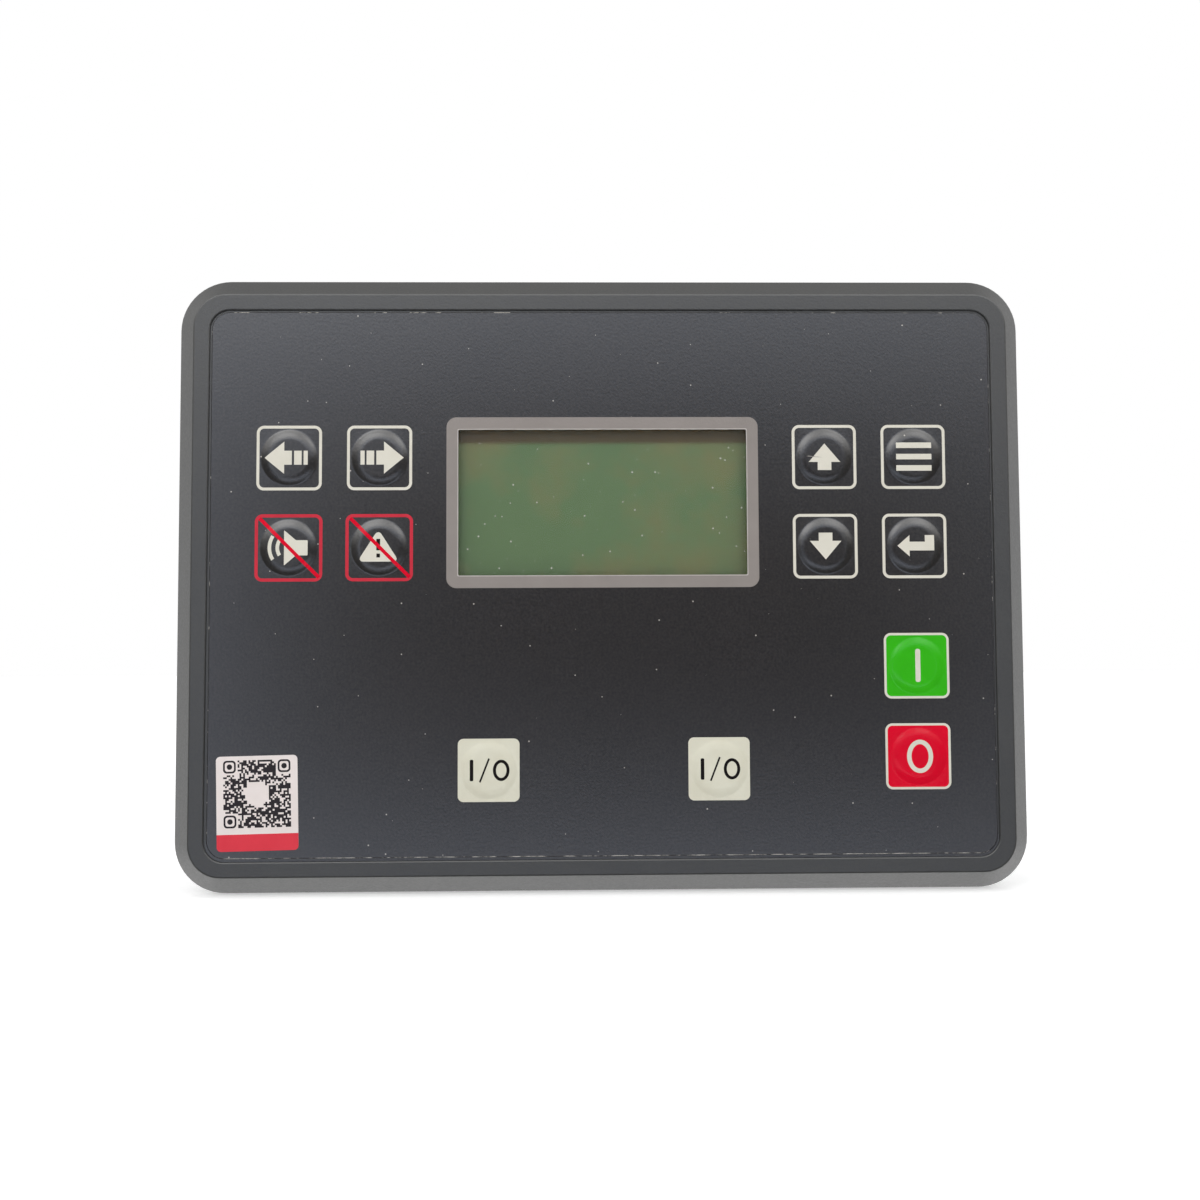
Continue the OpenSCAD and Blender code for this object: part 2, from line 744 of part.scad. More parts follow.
// Raised box over the boards, with a lip that locates it in the housing's opening
module rear_cover() stand() color("#2c2e30") difference() {
    union() {
        plate(housing_w, block_h, housing_corner_r, rear_z + 2 * rear_bevel, shelf_z);
        tapered_block(housing_w, block_h, housing_corner_r, rear_bevel, rear_z + 2 * rear_bevel, rear_z);
        plate(inner_w - 2 * fit_gap, block_in_h - 2 * fit_gap, inner_r - fit_gap,
            shelf_z - lip_root, shelf_inner_z);
    }
    plate(inner_w, block_in_h, inner_r, rear_z + housing_wall, shelf_z - lip_root);
    plate(inner_w - 2 * (fit_gap + lip_t), block_in_h - 2 * (fit_gap + lip_t), inner_r - fit_gap - lip_t,
        rear_z + housing_wall, shelf_inner_z + eps);
    // Bays for the module covers, with a ledge round each
    for (side = [-1, 1]) translate([side * cover_x, 0]) {
        slab(cover_w, cover_h, rear_z - eps, rear_z + cover_t);
        slab(cover_w - 2 * cover_ledge, cover_h - 2 * cover_ledge,
            rear_z - eps, rear_z + housing_wall + eps);
    }
    // Vents in the rear face and in the side walls
    for (i = [0 : vent_count - 1]) translate([(i - (vent_count - 1) / 2) * vent_pitch, 0])
        slab(vent_w, vent_len, rear_z - eps, rear_z + housing_wall + eps);
    for (i = [0 : side_vent_count - 1]) translate([0, (i - (side_vent_count - 1) / 2) * vent_pitch])
        slab(housing_w + 2 * eps, vent_w, shelf_z - side_vent_drop,
            shelf_z - side_vent_drop - side_vent_len);
}

module housing_screws() stand() color("#b4b6b8") at_screws()
    pan_screw(shelf_z, shelf_z + screw_head_h, wall_back_z - screw_spare);

// Blanking cover of a module bay, with a locating rim and a thumb scoop
module module_cover(side) stand() color("#26282a") translate([side * cover_x, 0]) {
    rim_w = cover_w - 2 * (cover_ledge + cover_gap);
    rim_h = cover_h - 2 * (cover_ledge + cover_gap);
    rim_top = rear_z + housing_wall + cover_rim;
    difference() {
        slab(cover_w - 2 * cover_gap, cover_h - 2 * cover_gap, rear_z, rear_z + cover_t);
        translate([side * (cover_w / 2 - scoop_inset), 0, rear_z + scoop_depth - scoop_r])
            rotate([90, 0, 0]) cylinder(r = scoop_r, h = scoop_len, center = true);
    }
    difference() {
        slab(rim_w, rim_h, rear_z + cover_t / 2, rim_top);
        slab(rim_w - 2 * cover_rim, rim_h - 2 * cover_rim, rear_z + cover_t, rim_top + eps);
    }
}

// Square data socket: shell with two bevelled corners in its mouth and a tongue
module data_socket() stand() color("#b9bbbd") translate([data_socket_x, terminal_y]) {
    difference() {
        slab(data_socket_w, data_socket_d, socket_end_z, rear_board_back_z);
        translate([0, 0, socket_end_z - eps]) linear_extrude(data_depth + eps) polygon([
            [-data_mouth_w / 2, -data_mouth_h / 2], [data_mouth_w / 2, -data_mouth_h / 2],
            [data_mouth_w / 2, data_mouth_h / 2 - data_bevel],
            [data_mouth_w / 2 - data_bevel, data_mouth_h / 2],
            [data_bevel - data_mouth_w / 2, data_mouth_h / 2],
            [-data_mouth_w / 2, data_mouth_h / 2 - data_bevel]
        ]);
    }
    slab(tongue_w, tongue_h, socket_end_z + tongue_setback, socket_end_z + data_depth + eps);
}

// Network socket: shell with a stepped mouth for the plug and its latch
module network_socket() stand() color("#b9bbbd") translate([network_socket_x, terminal_y]) difference() {
    slab(network_socket_w, network_socket_d, socket_end_z, rear_board_back_z);
    translate([0, network_mouth_lift])
        slab(network_mouth_w, network_mouth_h, socket_end_z - eps, socket_end_z + network_depth);
    translate([0, network_mouth_lift - network_mouth_h / 2]) {
        slab(latch_w, latch_h, socket_end_z - eps, socket_end_z + network_depth);
        slab(keyway_w, keyway_h, socket_end_z - eps, socket_end_z + keyway_depth);
    }
}

// Children at every pole of a terminal
module at_poles(t) {
    for (i = [0 : t[1] - 1]) translate([t[3] + (i - (t[1] - 1) / 2) * t[2], t[4] * terminal_y]) children();
}

// Shroud of a terminal on the rear board
module terminal_header(t) stand() color("#2f8a4c") difference() {
    translate([t[3], t[4] * terminal_y]) difference() {
        slab(row_length(t), header_t, header_end_z, rear_board_back_z);
        slab(row_length(t) - 2 * header_wall, header_t - 2 * header_wall,
            header_end_z - eps, rear_board_back_z - header_floor);
    }
    at_poles(t) slab(pin_side, pin_side, rear_board_back_z - header_floor - eps, rear_board_back_z + eps);
}

// Section of a plug's body: across the row and along the panel's normal, bevelled towards the wires
module plug_profile(side) {
    polygon([
        [-side * plug_t / 2, plug_front_z], [side * plug_t / 2, plug_front_z],
        [side * plug_t / 2, plug_end_z + plug_bevel], [side * (plug_t / 2 - plug_bevel), plug_end_z],
        [side * (plug_bevel / 2 - plug_t / 2), plug_end_z],
        [-side * plug_t / 2, plug_end_z + plug_bevel / 2]
    ]);
}

// Plug of a terminal: tongue in the shroud, body behind it, wire entries outwards, screw wells to the rear
module terminal_plug(t) stand() color("#2f8a4c") difference() {
    translate([t[3], t[4] * terminal_y]) {
        rotate([90, 0, 90]) linear_extrude(row_length(t), center = true) plug_profile(t[4]);
        slab(row_length(t) - 2 * (header_wall + fit_gap), header_t - 2 * (header_wall + fit_gap),
            plug_front_z - eps, rear_board_back_z - header_floor - fit_gap);
    }
    at_poles(t) {
        slab(pin_side + 2 * plug_pin_clear, pin_side + 2 * plug_pin_clear, header_end_z,
            rear_board_back_z - header_floor + eps);
        translate([0, t[4] * plug_t / 2])
            slab(wire_entry, 2 * wire_entry_depth, plug_front_z - wire_lip,
                plug_front_z - wire_lip - wire_entry);
        post(terminal_screw_r + fit_gap, plug_end_z - eps, plug_end_z + screw_well);
    }
}

module terminal_pins() stand() color("#c9c7b8")
    for (t = TERMINALS) at_poles(t)
        slab(pin_side, pin_side, header_end_z + pin_setback, rear_board_back_z);

module terminal_screws() stand() color("#c9c7b8")
    for (t = TERMINALS) at_poles(t) difference() {
        post(terminal_screw_r, plug_end_z + screw_well - terminal_screw_h, plug_end_z + screw_well);
        slab(2 * terminal_screw_r + eps, terminal_slot_w, plug_end_z,
            plug_end_z + screw_well - terminal_screw_h + terminal_slot_depth);
    }

front_bezel();
keypad_film();
guide_sticker();
display_window();
display_gasket();
lcd_frame();
lcd_glass();
lcd_backlight();
front_board();
switch_bodies();
processor();
cell_holder();
coin_cell();
link_socket();
link_header();
rear_board();
board_standoffs();
board_screws();
supply_capacitors();
current_transformers();
panel_gasket();
rear_housing();
rear_cover();
housing_screws();
module_cover(-1);  // module_cover_left
module_cover(1);  // module_cover_right
data_socket();
network_socket();
terminal_pins();
terminal_screws();
for (k = KEYS) plunger(k);
for (t = TERMINALS) terminal_header(t);
for (t = TERMINALS) terminal_plug(t);
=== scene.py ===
"""Looks of a panel-mounted generator set controller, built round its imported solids.

Flat pieces are drawn in panel millimetres, x right, y up and z out of the front, and then stood upright in
the frame of the solids, where the front faces -Y.
"""

import logging
import math
from dataclasses import dataclass
from enum import Enum
from typing import Callable, Iterable

import bmesh
import bpy
from mathutils import Matrix, Vector


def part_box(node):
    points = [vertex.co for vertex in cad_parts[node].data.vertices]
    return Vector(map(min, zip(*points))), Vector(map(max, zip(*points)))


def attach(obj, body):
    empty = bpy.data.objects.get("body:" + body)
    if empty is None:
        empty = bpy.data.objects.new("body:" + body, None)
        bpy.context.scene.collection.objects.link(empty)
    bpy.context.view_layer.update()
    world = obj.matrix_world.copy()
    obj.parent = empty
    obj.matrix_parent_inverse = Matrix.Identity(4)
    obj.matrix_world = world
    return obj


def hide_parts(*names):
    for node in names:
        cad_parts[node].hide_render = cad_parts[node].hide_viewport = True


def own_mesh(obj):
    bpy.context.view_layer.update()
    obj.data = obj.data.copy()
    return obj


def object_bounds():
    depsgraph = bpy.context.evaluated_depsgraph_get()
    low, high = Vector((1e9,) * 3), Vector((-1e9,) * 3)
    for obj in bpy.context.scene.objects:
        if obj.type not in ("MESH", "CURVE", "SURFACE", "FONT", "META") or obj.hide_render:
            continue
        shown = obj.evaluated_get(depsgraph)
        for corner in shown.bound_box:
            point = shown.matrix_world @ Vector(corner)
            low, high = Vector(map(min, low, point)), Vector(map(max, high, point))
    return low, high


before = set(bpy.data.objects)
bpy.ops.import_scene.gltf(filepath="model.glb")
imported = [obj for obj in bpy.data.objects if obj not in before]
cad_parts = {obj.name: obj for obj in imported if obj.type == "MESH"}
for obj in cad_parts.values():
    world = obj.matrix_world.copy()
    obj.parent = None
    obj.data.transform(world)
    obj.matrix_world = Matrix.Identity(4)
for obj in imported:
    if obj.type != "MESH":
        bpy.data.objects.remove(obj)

CAD_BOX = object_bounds()
LOG = logging.getLogger("genset_controller")
BODY = "controller"
MM = 0.001
UPRIGHT = Matrix.Rotation(math.radians(90), 4, "X")
PANEL_TO_FRAME = UPRIGHT @ Matrix.Scale(MM, 4)
SMOOTH_BELOW = math.radians(32)
# Reading solids: corners of triangles this close are one, faces this even are one, and points this close to a
# plane lie on it
JOIN_MM = 0.002
EVEN_BELOW = math.radians(0.5)
PLANE_SLACK_MM = 0.01
# Shared by all finishes: stretch of brushed lines along X, gloss of a clear layer, the grain's noise and its range,
# and the noise of the patches
BRUSH_STRETCH = 0.06
COAT_ROUGHNESS = 0.08
GRAIN_DETAIL = 3.0
GRAIN_RANGE = (0.3, 0.7)
PATCH_DETAIL = 4.0
PATCH_ROUGHNESS = 0.6
# Dust: colour, range of the cells' random value, turn of the cells against rows, smallest radius and solid core
DUST_COLOUR = "#b9b4ab"
DUST_RANGE = (0.4, 0.8)
DUST_TURN = 0.6
LEAST_SPECK_MM = 0.001
SPECK_CORE = 1.6


def linear(code: str) -> tuple[float, float, float, float]:
    """Turns an sRGB colour into linear light.

    Args:
        code: The colour as "#rrggbb".

    Returns:
        Red, green, blue and an alpha of 1.
    """
    parts = [int(code[i:i + 2], 16) / 255 for i in (1, 3, 5)]
    light = [p / 12.92 if p <= 0.04045 else ((p + 0.055) / 1.055) ** 2.4 for p in parts]
    return (light[0], light[1], light[2], 1.0)


def per_mm(size: float) -> float:
    """Texture scale at which a pattern repeats about every size millimetres."""
    return 1 / (size * MM)


def add_node(tree: bpy.types.NodeTree, kind: str, settings: dict | None = None,
             inputs: dict | None = None) -> bpy.types.Node:
    """Adds a node with its settings and links.

    Args:
        tree: The node tree that gets the node.
        kind: Blender's name for the node's type.
        settings: Values for the node's own properties.
        inputs: For each input, by name or number, a value or the output that feeds it.

    Returns:
        The new node.
    """
    node = tree.nodes.new(kind)
    for name, value in (settings or {}).items():
        setattr(node, name, value)
    for name, value in (inputs or {}).items():
        if isinstance(value, bpy.types.NodeSocket):
            tree.links.new(value, node.inputs[name])
        else:
            node.inputs[name].default_value = value
    return node


def bare_material(name: str) -> tuple[bpy.types.Material, bpy.types.NodeTree]:
    """Starts a material that has no nodes yet.

    Args:
        name: Its name.

    Returns:
        The material and its node tree.
    """
    material = bpy.data.materials.new(name)
    material.use_nodes = True
    material.node_tree.nodes.clear()
    return material, material.node_tree


class Pattern(Enum):
    """How the second tone of a finish lies over the first."""

    MOTTLE = "soft uneven patches"
    DUST = "soft patches with a few pale specks on the front"
    FLECKS = "short pale flecks with hard edges"
    BRUSHED = "fine lines along X"


@dataclass(frozen=True)
class Finish:
    """A surface: what it is made of and how it was made.

    Attributes:
        name: Common name of the material and its surface.
        colour: Main colour, sRGB hex.
        second: Second tone, sRGB hex.
        pattern: How the second tone lies.
        patch_mm: Size of the patches of the second tone.
        cover: Noise levels between which the second tone comes in.
        grain_mm: Width of the surface's grain. Most grains are drawn coarser than they are, so that they show.
        grain_depth_mm: Depth of the grain.
        roughness: Middle roughness.
        swing: How far the roughness goes up and down with the grain.
        metallic: 1 for bare metal.
        ior: Index of refraction, left alone on metal.
        specular: Strength of the mirror share of the surface, 0.5 for a bare one.
        coat: Clear layer on top, from 0 to 1.
        alpha: Opacity.
        grain_tint: Share of the fine grain in the second tone.
        dust_mm: Width of the cells that hold one speck of dust each, if any.
        speck_mm: Radius of the largest speck.
    """

    name: str
    colour: str
    second: str
    pattern: Pattern = Pattern.MOTTLE
    patch_mm: float = 16.0
    cover: tuple[float, float] = (0.3, 0.7)
    grain_mm: float = 0.5
    grain_depth_mm: float = 0.006
    roughness: float = 0.5
    swing: float = 0.06
    metallic: float = 0.0
    ior: float = 1.5
    specular: float = 0.5
    coat: float = 0.0
    alpha: float = 1.0
    grain_tint: float = 0.0
    dust_mm: float = 12.0
    speck_mm: float = 0.26

    def material(self) -> bpy.types.Material:
        """Builds the finish as a material, once.

        Returns:
            The material, named for the finish.
        """
        found = bpy.data.materials.get(self.name)
        if found:
            return found
        material, tree = bare_material(self.name)
        coords = add_node(tree, "ShaderNodeTexCoord").outputs["Object"]
        grain = add_node(tree, "ShaderNodeTexNoise", inputs={
            "Vector": self.laid(tree, coords), "Scale": per_mm(self.grain_mm),
            "Detail": GRAIN_DETAIL}).outputs["Fac"]
        gloss = add_node(tree, "ShaderNodeMapRange", inputs={
            "Value": grain, "From Min": GRAIN_RANGE[0], "From Max": GRAIN_RANGE[1],
            "To Min": self.roughness - self.swing, "To Max": self.roughness + self.swing}).outputs["Result"]
        relief = add_node(tree, "ShaderNodeBump", inputs={
            "Height": grain, "Distance": self.grain_depth_mm * MM}).outputs["Normal"]
        shader = add_node(tree, "ShaderNodeBsdfPrincipled", inputs={
            "Base Color": self.tones(tree, coords, grain), "Roughness": gloss, "Normal": relief,
            "Metallic": self.metallic, "Alpha": self.alpha, "Specular IOR Level": self.specular})
        if not self.metallic:
            shader.inputs["IOR"].default_value = self.ior
        if self.coat:
            shader.inputs["Coat Weight"].default_value = self.coat
            shader.inputs["Coat Roughness"].default_value = COAT_ROUGHNESS
        add_node(tree, "ShaderNodeOutputMaterial", inputs={"Surface": shader.outputs["BSDF"]})
        return material

    def laid(self, tree: bpy.types.NodeTree, coords: bpy.types.NodeSocket) -> bpy.types.NodeSocket:
        """Stretches the coordinates along X for a brushed finish.

        Args:
            tree: The material's nodes.
            coords: Object coordinates.

        Returns:
            The coordinates that the grain reads.
        """
        if self.pattern is not Pattern.BRUSHED:
            return coords
        return add_node(tree, "ShaderNodeMapping", inputs={
            "Vector": coords, "Scale": (BRUSH_STRETCH, 1.0, 1.0)}).outputs["Vector"]

    def tones(self, tree: bpy.types.NodeTree, coords: bpy.types.NodeSocket,
              grain: bpy.types.NodeSocket) -> bpy.types.NodeSocket:
        """Lays the second tone, and dust where the finish has it, over the main colour.

        Args:
            tree: The material's nodes.
            coords: Object coordinates.
            grain: The surface's grain.

        Returns:
            The colour output.
        """
        patches = add_node(tree, "ShaderNodeTexNoise", inputs={
            "Vector": self.laid(tree, coords), "Scale": per_mm(self.patch_mm), "Detail": PATCH_DETAIL,
            "Roughness": PATCH_ROUGHNESS}).outputs["Fac"]
        if self.grain_tint:
            patches = add_node(tree, "ShaderNodeMix", inputs={0: self.grain_tint, 2: patches, 3: grain}).outputs[0]
        share = add_node(tree, "ShaderNodeMapRange", inputs={
            "Value": patches, "From Min": self.cover[0], "From Max": self.cover[1]}).outputs["Result"]
        colour = add_node(tree, "ShaderNodeMix", {"data_type": "RGBA"}, {
            0: share, 6: linear(self.colour), 7: linear(self.second)}).outputs[2]
        if self.pattern is not Pattern.DUST:
            return colour
        # One speck in each cell of the front plane whose own random value lies in the upper part of the range
        flat = add_node(tree, "ShaderNodeMapping", inputs={
            "Vector": coords, "Rotation": (-math.pi / 2, 0.0, DUST_TURN)}).outputs["Vector"]
        cells = add_node(tree, "ShaderNodeTexVoronoi", {"voronoi_dimensions": "2D"}, {
            "Vector": flat, "Scale": per_mm(self.dust_mm)})
        reach = add_node(tree, "ShaderNodeMapRange", inputs={
            "Value": cells.outputs["Color"], "From Min": DUST_RANGE[0], "From Max": DUST_RANGE[1],
            "To Min": LEAST_SPECK_MM / self.dust_mm, "To Max": self.speck_mm / self.dust_mm}).outputs["Result"]
        speck = add_node(tree, "ShaderNodeMapRange", inputs={
            "Value": cells.outputs["Distance"], "From Min": reach, "From Max": 0.0,
            "To Max": SPECK_CORE}).outputs["Result"]
        return add_node(tree, "ShaderNodeMix", {"data_type": "RGBA"}, {
            0: speck, 6: colour, 7: linear(DUST_COLOUR)}).outputs[2]


@dataclass(frozen=True)
class CellFinish(Finish):
    """Finish of the display cell, with a painted shadow along its upper strip, where the window's upper edge shades
    it.

    Attributes:
        view_mm: Height of the cell that shows.
        shadow_mm: Height of the painted shadow strip.
        shadow_fade_mm: Height over which the painted shadow fades out below.
        shadow_colour: Colour of the painted shadow.
        shadow_share: How far the painted shadow covers the cell's own tones.
    """

    view_mm: float = 42.0
    shadow_mm: float = 3.0
    shadow_fade_mm: float = 1.9
    shadow_colour: str = "#442806"
    shadow_share: float = 0.9

    def tones(self, tree: bpy.types.NodeTree, coords: bpy.types.NodeSocket,
              grain: bpy.types.NodeSocket) -> bpy.types.NodeSocket:
        """Lays the painted shadow strip over the cell's own tones.

        Args:
            tree: The material's nodes.
            coords: Object coordinates.
            grain: The surface's grain.

        Returns:
            The colour output.
        """
        colour = super().tones(tree, coords, grain)
        # Painted shadow: the cell darkens along its top, under the window's upper edge
        low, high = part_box("display_window")
        top = (low.z + high.z + self.view_mm * MM) / 2
        height = add_node(tree, "ShaderNodeSeparateXYZ", inputs={"Vector": coords}).outputs["Z"]
        share = add_node(tree, "ShaderNodeMapRange", {"interpolation_type": "SMOOTHSTEP"}, {
            "Value": height, "From Min": top - (self.shadow_mm + self.shadow_fade_mm) * MM,
            "From Max": top - self.shadow_mm * MM, "To Max": self.shadow_share}).outputs["Result"]
        return add_node(tree, "ShaderNodeMix", {"data_type": "RGBA"}, {
            0: share, 6: colour, 7: linear(self.shadow_colour)}).outputs[2]


# ABS moulded in a spark-eroded tool: an even dull grey with a fine grain. Its pits of about 0.1 mm are drawn at
# 0.6 mm, so that they show
BEZEL_ABS = Finish("moulded ABS, dark grey", "#262626", "#31312f", patch_mm=24, grain_mm=0.6,
                   grain_depth_mm=0.03, roughness=0.45, ior=1.53, grain_tint=0.6)
# Velvet polyester overlay printed black on its rear face: satin, with fine grain and a little dust.
FILM_PET = Finish("velvet polyester overlay, black", "#020101", "#221e1b", Pattern.DUST, patch_mm=30,
                  grain_mm=0.7, grain_depth_mm=0.024, roughness=0.285, swing=0.008, ior=1.57, grain_tint=0.85)
# Cut edge of the overlay: dark print with short stretches where the clear film catches the light
FILM_EDGE = Finish("polyester overlay, cut edge", "#2b2928", "#bdb8ae", Pattern.FLECKS, patch_mm=3,
                   cover=(0.6, 0.66), grain_mm=0.3, roughness=0.35, ior=1.57)
# The same edge below, where light from overhead shines through it
FILM_EDGE_LOW = Finish("polyester overlay, lower cut edge", "#4b4947", "#f2eee4", Pattern.FLECKS, patch_mm=2.4,
                       cover=(0.44, 0.6), grain_mm=0.3, roughness=0.35, ior=1.57)
# Screen inks under the overlay: even colour with the film's satin surface. Those of the start and stop keys are
# glossier, which draws a pale arc on each dome
PALE_INK = Finish("screen ink, warm white", "#d8d4c7", "#d2cec0", patch_mm=6, roughness=0.42, specular=0.2)
RED_INK = Finish("screen ink, signal red", "#c82d3e", "#bd2838", patch_mm=6, roughness=0.42, specular=0.1)
GREEN_INK = Finish("screen ink, traffic green", "#34b512", "#30ac0f", patch_mm=9, roughness=0.2, swing=0.03,
                   specular=0.16)
STOP_INK = Finish("screen ink, stop red", "#da0028", "#d00024", patch_mm=9, roughness=0.2, swing=0.03,
                  specular=0.12)
WHITE_INK = Finish("screen ink, key white", "#d9d7c6", "#d3d0bd", patch_mm=9, roughness=0.42, specular=0.2)
BLACK_INK = Finish("screen ink, black", "#0c0807", "#140e0c", patch_mm=4, roughness=0.45, specular=0.1)
# Pale line along the display's cut-out: a painted highlight, where the cut edge catches the light
BORDER_HIGHLIGHT = Finish("polyester overlay, painted cut highlight", "#b9b2ac", "#a39c96", patch_mm=3, roughness=0.4)
BORDER_INK = Finish("screen ink, warm grey", "#8c8580", "#867f7a", patch_mm=12, roughness=0.42, specular=0.2)
# Scratch through the velvet surface: pale where it is deep
SCRATCH = Finish("scratched polyester", "#a8a39b", "#6b6763", Pattern.FLECKS, patch_mm=0.8, roughness=0.5)
# Label paper under clear laminate: smooth and slightly glossy
LABEL_WHITE = Finish("laminated label paper", "#e4dad6", "#ded4cf", patch_mm=8, roughness=0.38)
LABEL_RED = Finish("label ink, red", "#da3040", "#d32a3a", patch_mm=6, roughness=0.38, specular=0.25)
LABEL_BLACK = Finish("label ink, black", "#1a1416", "#221b1e", patch_mm=3, roughness=0.4, specular=0.2)
# Cast acrylic window: nearly unseen but for its faint green tint
WINDOW_PMMA = Finish("cast acrylic, clear", "#c8d4c8", "#c2cec2", roughness=0.06, swing=0.02,
                     grain_depth_mm=0.002, ior=1.49, alpha=0.03)
# Reflective display cell: yellow-green glass under a glossy polariser. Its warm cloudy patches are a painted
# reflection, and its dark upper strip is a painted shadow
CELL_GLASS = CellFinish("liquid crystal cell, unlit", "#526b43", "#756d43", Pattern.DUST, patch_mm=36,
                        cover=(0.46, 0.72), grain_mm=0.6, grain_depth_mm=0.002, roughness=0.3, swing=0.02,
                        coat=0.3, ior=1.52, specular=0.2, dust_mm=4.4, speck_mm=0.32)
# Pieces behind the cell: a milky plate that glows when lit, and dull black foam with open pores
LIGHT_GUIDE = Finish("milky acrylic light guide", "#e4e6d6", "#dcdecd", patch_mm=10, roughness=0.3, ior=1.49)
FOAM = Finish("closed-cell foam", "#151515", "#202020", patch_mm=1.2, grain_mm=0.6, grain_depth_mm=0.05,
              roughness=0.9, swing=0.05)
# Rear mouldings: PC/ABS with a coarser grain than the bezel's, drawn at 0.7 mm so that it shows
HOUSING_PC = Finish("moulded PC/ABS, black-grey", "#2a2c2e", "#303234", patch_mm=20, grain_mm=0.7,
                    grain_depth_mm=0.02, roughness=0.58, ior=1.55)
COVER_PC = Finish("moulded PC/ABS, cover black", "#232527", "#292b2d", patch_mm=20, grain_mm=0.7,
                  grain_depth_mm=0.02, roughness=0.6, ior=1.55)
# Glass-filled polyamide of plug-in terminals: slightly waxy green
TERMINAL_PA = Finish("moulded polyamide, green", "#2b8447", "#267a40", patch_mm=7, grain_mm=0.6,
                     grain_depth_mm=0.008, roughness=0.42, ior=1.53)
# EPDM seal: dull and slightly bloomed
SEAL_EPDM = Finish("moulded EPDM rubber", "#191919", "#242424", patch_mm=5, grain_mm=0.8,
                   grain_depth_mm=0.02, roughness=0.8, swing=0.08, ior=1.52)
# Platings and turned metal: bright, with fine lines from rolling or turning. The lines of a few hundredths of a
# millimetre are drawn at about 0.3 mm, so that they show
ZINC = Finish("zinc-plated steel", "#b4b7b9", "#9fa3a6", Pattern.BRUSHED, patch_mm=3, grain_mm=0.35,
              roughness=0.34, swing=0.08, metallic=1.0)
TIN = Finish("tin-plated contact", "#c6c3b5", "#b0ac9d", Pattern.BRUSHED, patch_mm=2, grain_mm=0.3,
             roughness=0.3, swing=0.08, metallic=1.0)
GOLD = Finish("gold-plated contact", "#d9b45a", "#c9a24a", Pattern.BRUSHED, patch_mm=1.5, grain_mm=0.3,
              roughness=0.25, swing=0.05, metallic=1.0)
BRASS = Finish("turned brass", "#b9994f", "#a88840", Pattern.BRUSHED, patch_mm=3, grain_mm=0.3,
               roughness=0.32, swing=0.08, metallic=1.0)
NICKEL = Finish("nickel-plated cell can", "#c9cacb", "#babcbe", Pattern.BRUSHED, patch_mm=6, grain_mm=0.3,
                roughness=0.22, swing=0.06, metallic=1.0)
# Inside pieces, seen only through the vents: green lacquer over a woven laminate, and plain dark or blue mouldings
SOLDER_MASK = Finish("solder mask on laminate", "#1d5735", "#23613c", patch_mm=2.5, grain_mm=0.5,
                     roughness=0.35, swing=0.08)
CHIP_EPOXY = Finish("moulded epoxy", "#191a1c", "#202123", patch_mm=3, roughness=0.55)
SWITCH_LCP = Finish("moulded switch plastic", "#222426", "#292b2d", patch_mm=4, roughness=0.5)
PLUNGER_POM = Finish("moulded acetal, black", "#141517", "#1b1c1e", patch_mm=3, roughness=0.4, ior=1.48)
CAN_SLEEVE = Finish("sleeved capacitor can", "#223c63", "#2a466e", patch_mm=5, roughness=0.35)
TRANSFORMER_PBT = Finish("moulded PBT, blue", "#295a8d", "#30639a", patch_mm=5, roughness=0.45)


def plate_outline(bm: bmesh.types.BMesh, size: tuple[float, float], corner: float,
                  centre: tuple[float, float] = (0.0, 0.0), steps: int = 15) -> list[bmesh.types.BMEdge]:
    """Draws the edges of a rectangle with round corners, without a face.

    Args:
        bm: The mesh that gets the edges.
        size: Width and height.
        corner: Corner radius.
        centre: Where its middle lies.
        steps: Segments of each corner.

    Returns:
        The closed loop of edges.
    """
    verts = bmesh.ops.create_grid(bm, x_segments=1, y_segments=1, size=0.5)["verts"]
    bmesh.ops.scale(bm, vec=(size[0], size[1], 1.0), verts=verts)
    bmesh.ops.translate(bm, vec=(centre[0], centre[1], 0.0), verts=verts)
    face = verts[0].link_faces[0]
    edges = list(face.edges)
    if corner:
        cut = bmesh.ops.bevel(bm, geom=verts, offset=corner, offset_type="OFFSET", segments=steps, profile=0.5,
                              affect="VERTICES", material=-1)
        face = max({f for v in cut["verts"] for f in v.link_faces}, key=lambda f: len(f.verts))
        edges = list(face.edges)
    bmesh.ops.delete(bm, geom=[face], context="FACES_ONLY")
    return edges


def thicken(bm: bmesh.types.BMesh, depth: float) -> None:
    """Makes an open sheet a closed plate by drawing it along z.

    Args:
        bm: The mesh that holds only the sheet.
        depth: How far, downwards where negative.
    """
    grown = bmesh.ops.extrude_face_region(bm, geom=bm.faces[:], use_keep_orig=True)["geom"]
    moved = [g for g in grown if isinstance(g, bmesh.types.BMVert)]
    bmesh.ops.translate(bm, vec=(0.0, 0.0, depth), verts=moved)
    bmesh.ops.recalc_face_normals(bm, faces=bm.faces[:])


def stand_piece(name: str, bm: bmesh.types.BMesh, place: Matrix, finish: Finish) -> bpy.types.Object:
    """Stands a mesh drawn in panel millimetres upright, as a piece of the controller.

    Args:
        name: Name of the piece.
        bm: Its mesh, which is used up.
        place: Where it lies on the panel, in millimetres.
        finish: Its finish.

    Returns:
        The piece.
    """
    bm.transform(PANEL_TO_FRAME @ place)
    return new_piece(name, bm, finish)


def new_piece(name: str, bm: bmesh.types.BMesh, finish: Finish) -> bpy.types.Object:
    """Makes a mesh in the frame's metres a piece that rides on the controller.

    Args:
        name: Name of the piece.
        bm: Its mesh, which is used up.
        finish: Its finish.

    Returns:
        The piece.
    """
    mesh = bpy.data.meshes.new(name)
    bm.to_mesh(mesh)
    bm.free()
    mesh.shade_smooth()
    mesh.set_sharp_from_angle(angle=SMOOTH_BELOW)
    mesh.materials.append(finish.material())
    piece = bpy.data.objects.new(name, mesh)
    bpy.context.scene.collection.objects.link(piece)
    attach(piece, BODY)
    LOG.info("%s: %d faces", name, len(mesh.polygons))
    return piece


